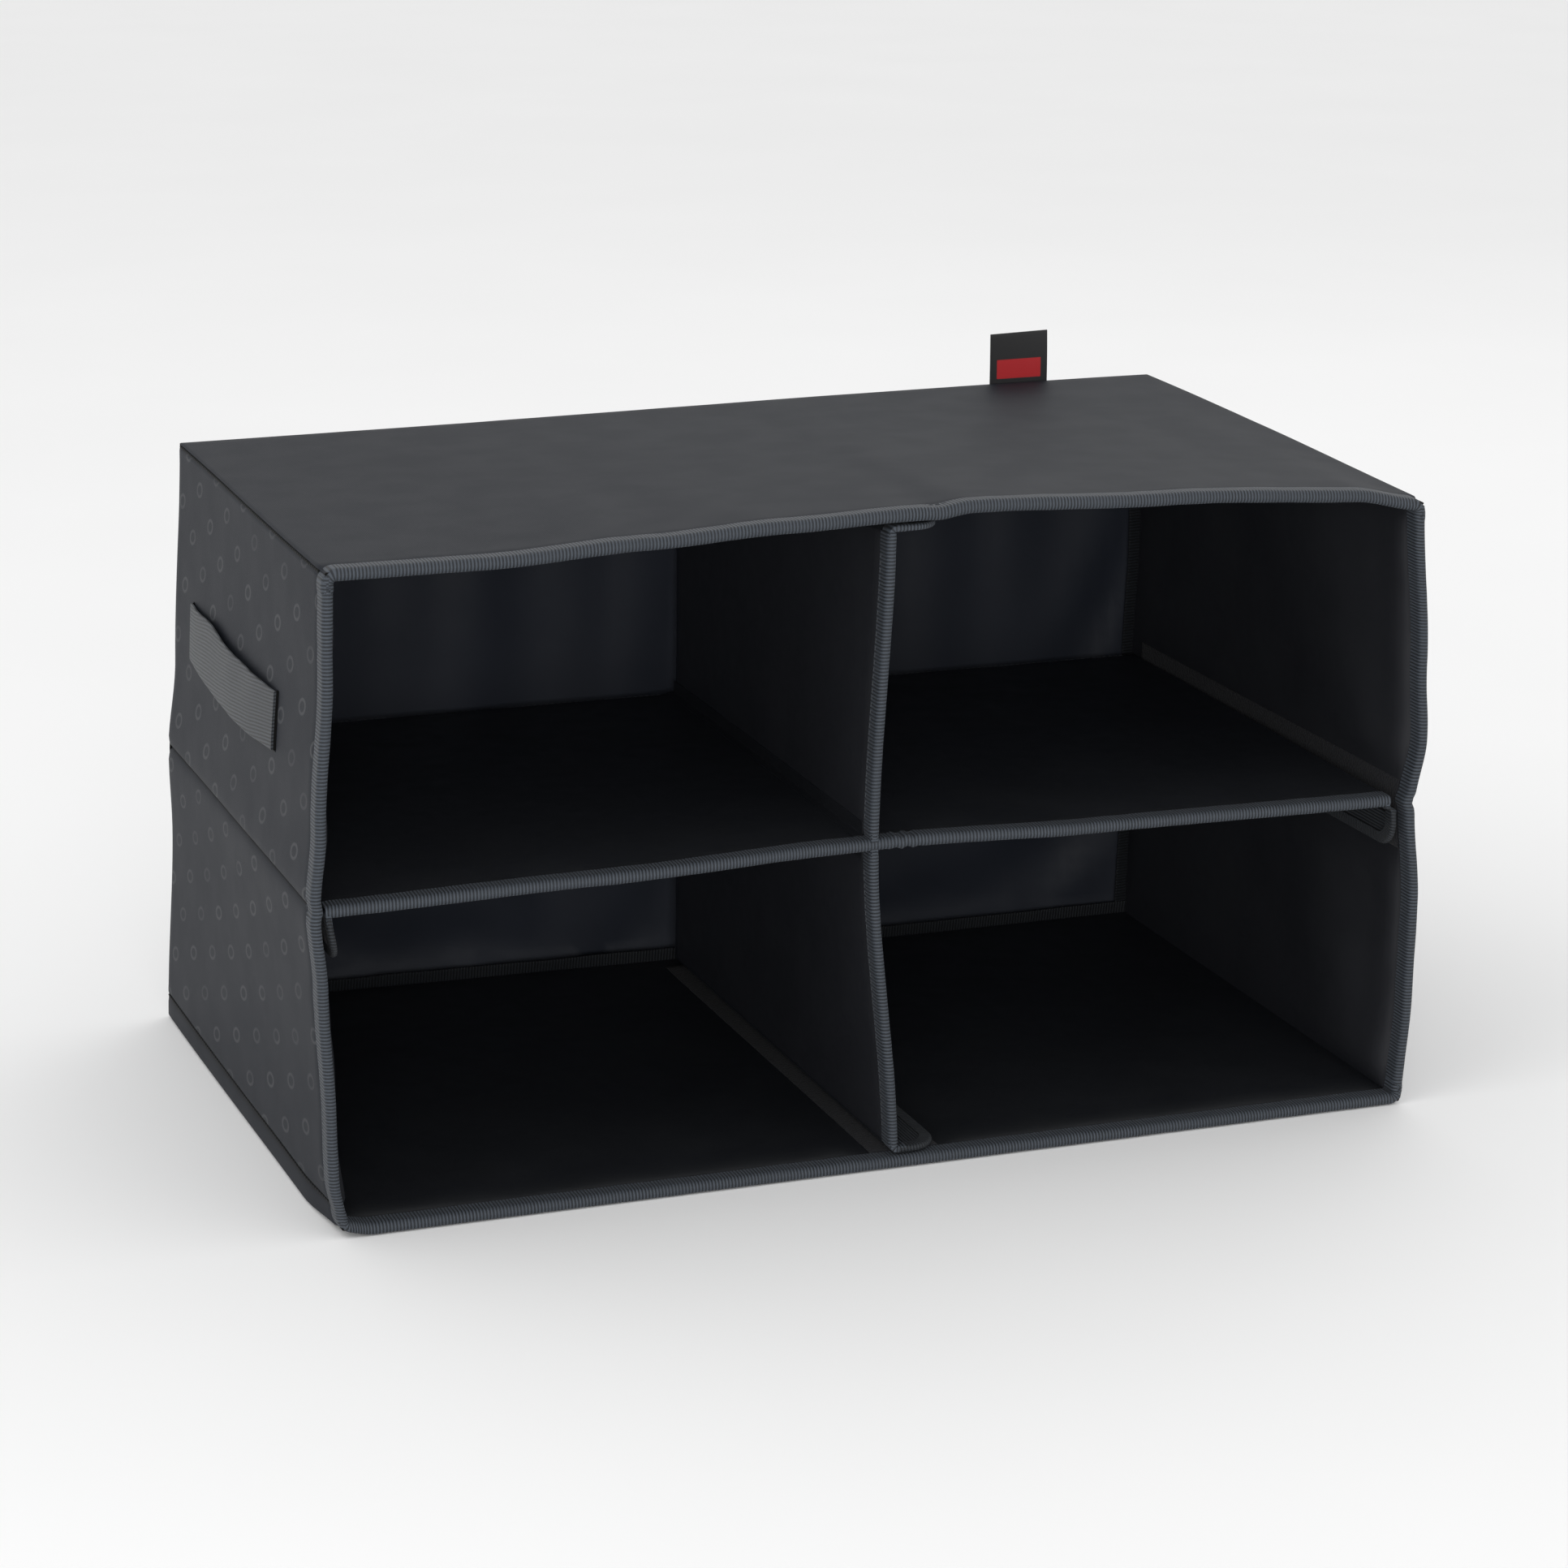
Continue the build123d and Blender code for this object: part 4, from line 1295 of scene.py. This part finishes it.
def all_stitches():
    """The rows that hold the binding tapes, near-black tubes in the outer seams as painted shade for their
    grooves, and the shelf's back seam.
    """
    y = BOUND_BACK - FROM_TAPE_EDGE
    levels = ((HEIGHT + ON_TAPE, 1), (SEAM_HIGH - ON_TAPE, -1), (PANEL + ON_TAPE, 1))
    lines = [row((0, y, z), -HALF + 8, 2 * HALF - 16, 0, (0, 0, up)) for z, up in levels]
    for sign in (-1, 1):
        for x, out in ((sign * (HALF + ON_SIDE_TAPE), sign), (sign * (INNER_HALF - ON_SIDE_TAPE), -sign)):
            lines.append(row((x, y, 0), PANEL + LAP, HEIGHT - 2 * (PANEL + LAP), 2, (out, 0, 0)))
    stitches("front_binding_stitches", "shell", lines)

    # painted shade: near-black tubes down the outer seams stand for the shadow in their grooves
    lines = [
        row((out * (HALF - sunk), 0, z), BOUND_BACK, TUBE_BACK - BOUND_BACK, 1, (out, 0, 0))
        for out in (-1, 1)
        for z, sunk in ((TURN_UP, 0.25), (SEAM_TOP, 0.5))
    ]
    stitches("seam_shadow_tubes", "shell", lines, radius=0.65, length_each=STITCH_PITCH + 0.6, finish="seam_shade")

    y = INSERT_BOUND_BACK - FROM_TAPE_EDGE
    face = PANEL / 2 + 0.3
    lines = [
        row((0, y, MIDDLE + up * face), start, length, 0, (0, 0, up), settle_insert)
        for up in (1, -1)
        for start, length in ((SHELF_LOW.x + 3, -SHELF_LOW.x - 14), (12, SHELF_HIGH.x - 16))
    ]
    stitches("shelf_stitches", "insert", lines)
    lines = [
        row((0, INSERT_BACK - 2.4, MIDDLE + 2.4), start, length, 0, (0, 0, 1), settle_insert)
        for start, length in ((SHELF_LOW.x + 5, -SHELF_LOW.x - 14), (8, SHELF_HIGH.x - 13))
    ]
    stitches("shelf_back_stitches", "insert", lines, radius=0.5)
    for name, low, high in (("upper", UPPER_FOOT, UPPER_TOP), ("lower", LOWER_FOOT, LOWER_TOP)):
        lines = [
            row((side * face, y, 0), low + 9, high - low - 18, 2, (side, 0, 0), settle_insert)
            for side in (-1, 1)
        ]
        stitches(f"{name}_divider_stitches", f"{name}_divider", lines)


# ---- making
for wall in ("top", "bottom", "left", "right"):
    cover_wall(wall)
    lining_wall(wall)
    front_binding(wall)
    back_seam_tape(wall)
    nap_strip(f"loop_strip_{wall}", settle, 2 if wall in ("top", "bottom") else 0)

sag = limp_back()
back_sheet("back_cover", sag, BACK, 0.2, CORNER)
back_sheet("back_lining", sag, TUBE_BACK - 0.05, PANEL, 0.5)

for wall in ("top", "bottom"):
    for half in ("left", "right"):
        board_slab(f"{wall}_board_{half}", settle)
for wall in ("left", "right"):
    tail_low, tail_high = corners(f"{wall}_handle_tails")

    def recess(spot, side):
        """The hollow behind the outer cloth for the sewn-down ends of the strap."""
        outside = 0 if spot[0] > 0 else 1
        in_height = tail_low.z - 2 < spot[2] < tail_high.z + 2
        in_depth = any(abs(spot[1] - y_slit - k * 16) < 22 for y_slit, k in zip(SLIT_YS, (-1, 1)))
        if side == outside and in_height and in_depth:
            spot[0] -= math.copysign(1.4, spot[0])
        return spot

    board_slab(f"{wall}_board_upper", settle, recess)
    board_slab(f"{wall}_board_lower", settle)
    handle(wall)
    handle_tails(wall)
label()

sleeve("shelf", False, SHELF_LOW, SHELF_HIGH, front_gathers=1.1)
sleeve("upper_divider", True, *corners("upper_divider_cover"))
sleeve("lower_divider", True, *corners("lower_divider_cover"))
for name, turned in (("shelf", False), ("upper_divider", True), ("lower_divider", True)):
    insert_binding(name, turned)
for node in ("shelf_board_left", "shelf_board_right", "upper_divider_board", "lower_divider_board"):
    board_slab(node, settle_insert)
for name in FLAPS:
    flap(name)
hinges()
all_stitches()


# ---- floor, light, camera
def floor():
    """Pale paper just under the object, out past the view on every side."""
    reach, level = 14.0, -0.0006
    points = [(x * reach, y * reach, level) for x, y in ((-1, -1), (1, -1), (1, 1), (-1, 1))]
    mesh = bpy.data.meshes.new("floor")
    mesh.from_pydata(points, [], [(0, 1, 2, 3)])
    piece = bpy.data.objects.new("floor", mesh)
    scene.collection.objects.link(piece)
    recipe = Recipe("floor_paper", Roughness=0.9, Specular_IOR_Level=0.1)
    base = recipe.blend(recipe.noise(3, 2), tone((0.90, 0.90, 0.90)), tone((0.93, 0.93, 0.93)))
    mesh.materials.append(recipe.finish(base, [(recipe.noise(40, 2), 0.0005, 0.02)]))


def lamp(name, place, target, size, power):
    """A round soft light of that width in metres and power in watts."""
    data = bpy.data.lights.new(name, "AREA")
    data.shape, data.size, data.energy = "DISK", size, power
    light = bpy.data.objects.new(name, data)
    scene.collection.objects.link(light)
    light.location = place
    light.rotation_euler = (Vector(target) - Vector(place)).to_track_quat("-Z", "Y").to_euler()


def studio():
    """Even light from all round, strongest from the front, with a weak key and rim."""
    floor()
    centre = (0, 0, MIDDLE * MM)
    lamp("key", (-1.6, -0.6, 2.2), centre, 1.6, 8)
    lamp("fill", (-0.9, -2.9, 0.4), centre, 1.6, 40)
    lamp("rim", (1.4, 1.6, 1.9), centre, 1.4, 4)
    world = bpy.data.worlds.new("studio")
    world.use_nodes = True
    background = world.node_tree.nodes["Background"]
    background.inputs["Color"].default_value = tone((1, 1, 1))
    background.inputs["Strength"].default_value = 0.9
    scene.world = world
    scene.view_settings.view_transform = "Standard"


def camera():
    """Slightly from the left and above, as a product photograph is taken."""
    azimuth, elevation, roll = math.radians(-20.62), math.radians(15.89), math.radians(0.59)
    distance, lens = 2.2914, 95.7
    data = bpy.data.cameras.new("camera")
    data.lens, data.sensor_width = lens, 36.0
    data.shift_x, data.shift_y = 0.0042, -0.0093  # the photograph's framing
    view = bpy.data.objects.new("camera", data)
    scene.collection.objects.link(view)
    level = math.cos(elevation)
    away = Vector((math.sin(azimuth) * level, -math.cos(azimuth) * level, math.sin(elevation)))
    view.location = Vector((0, 0, MIDDLE * MM)) + away * distance
    turn = (-away).to_track_quat("-Z", "Y").to_matrix() @ Matrix.Rotation(roll, 3, "Z")
    view.rotation_euler = turn.to_euler()
    scene.camera = view


studio()
camera()
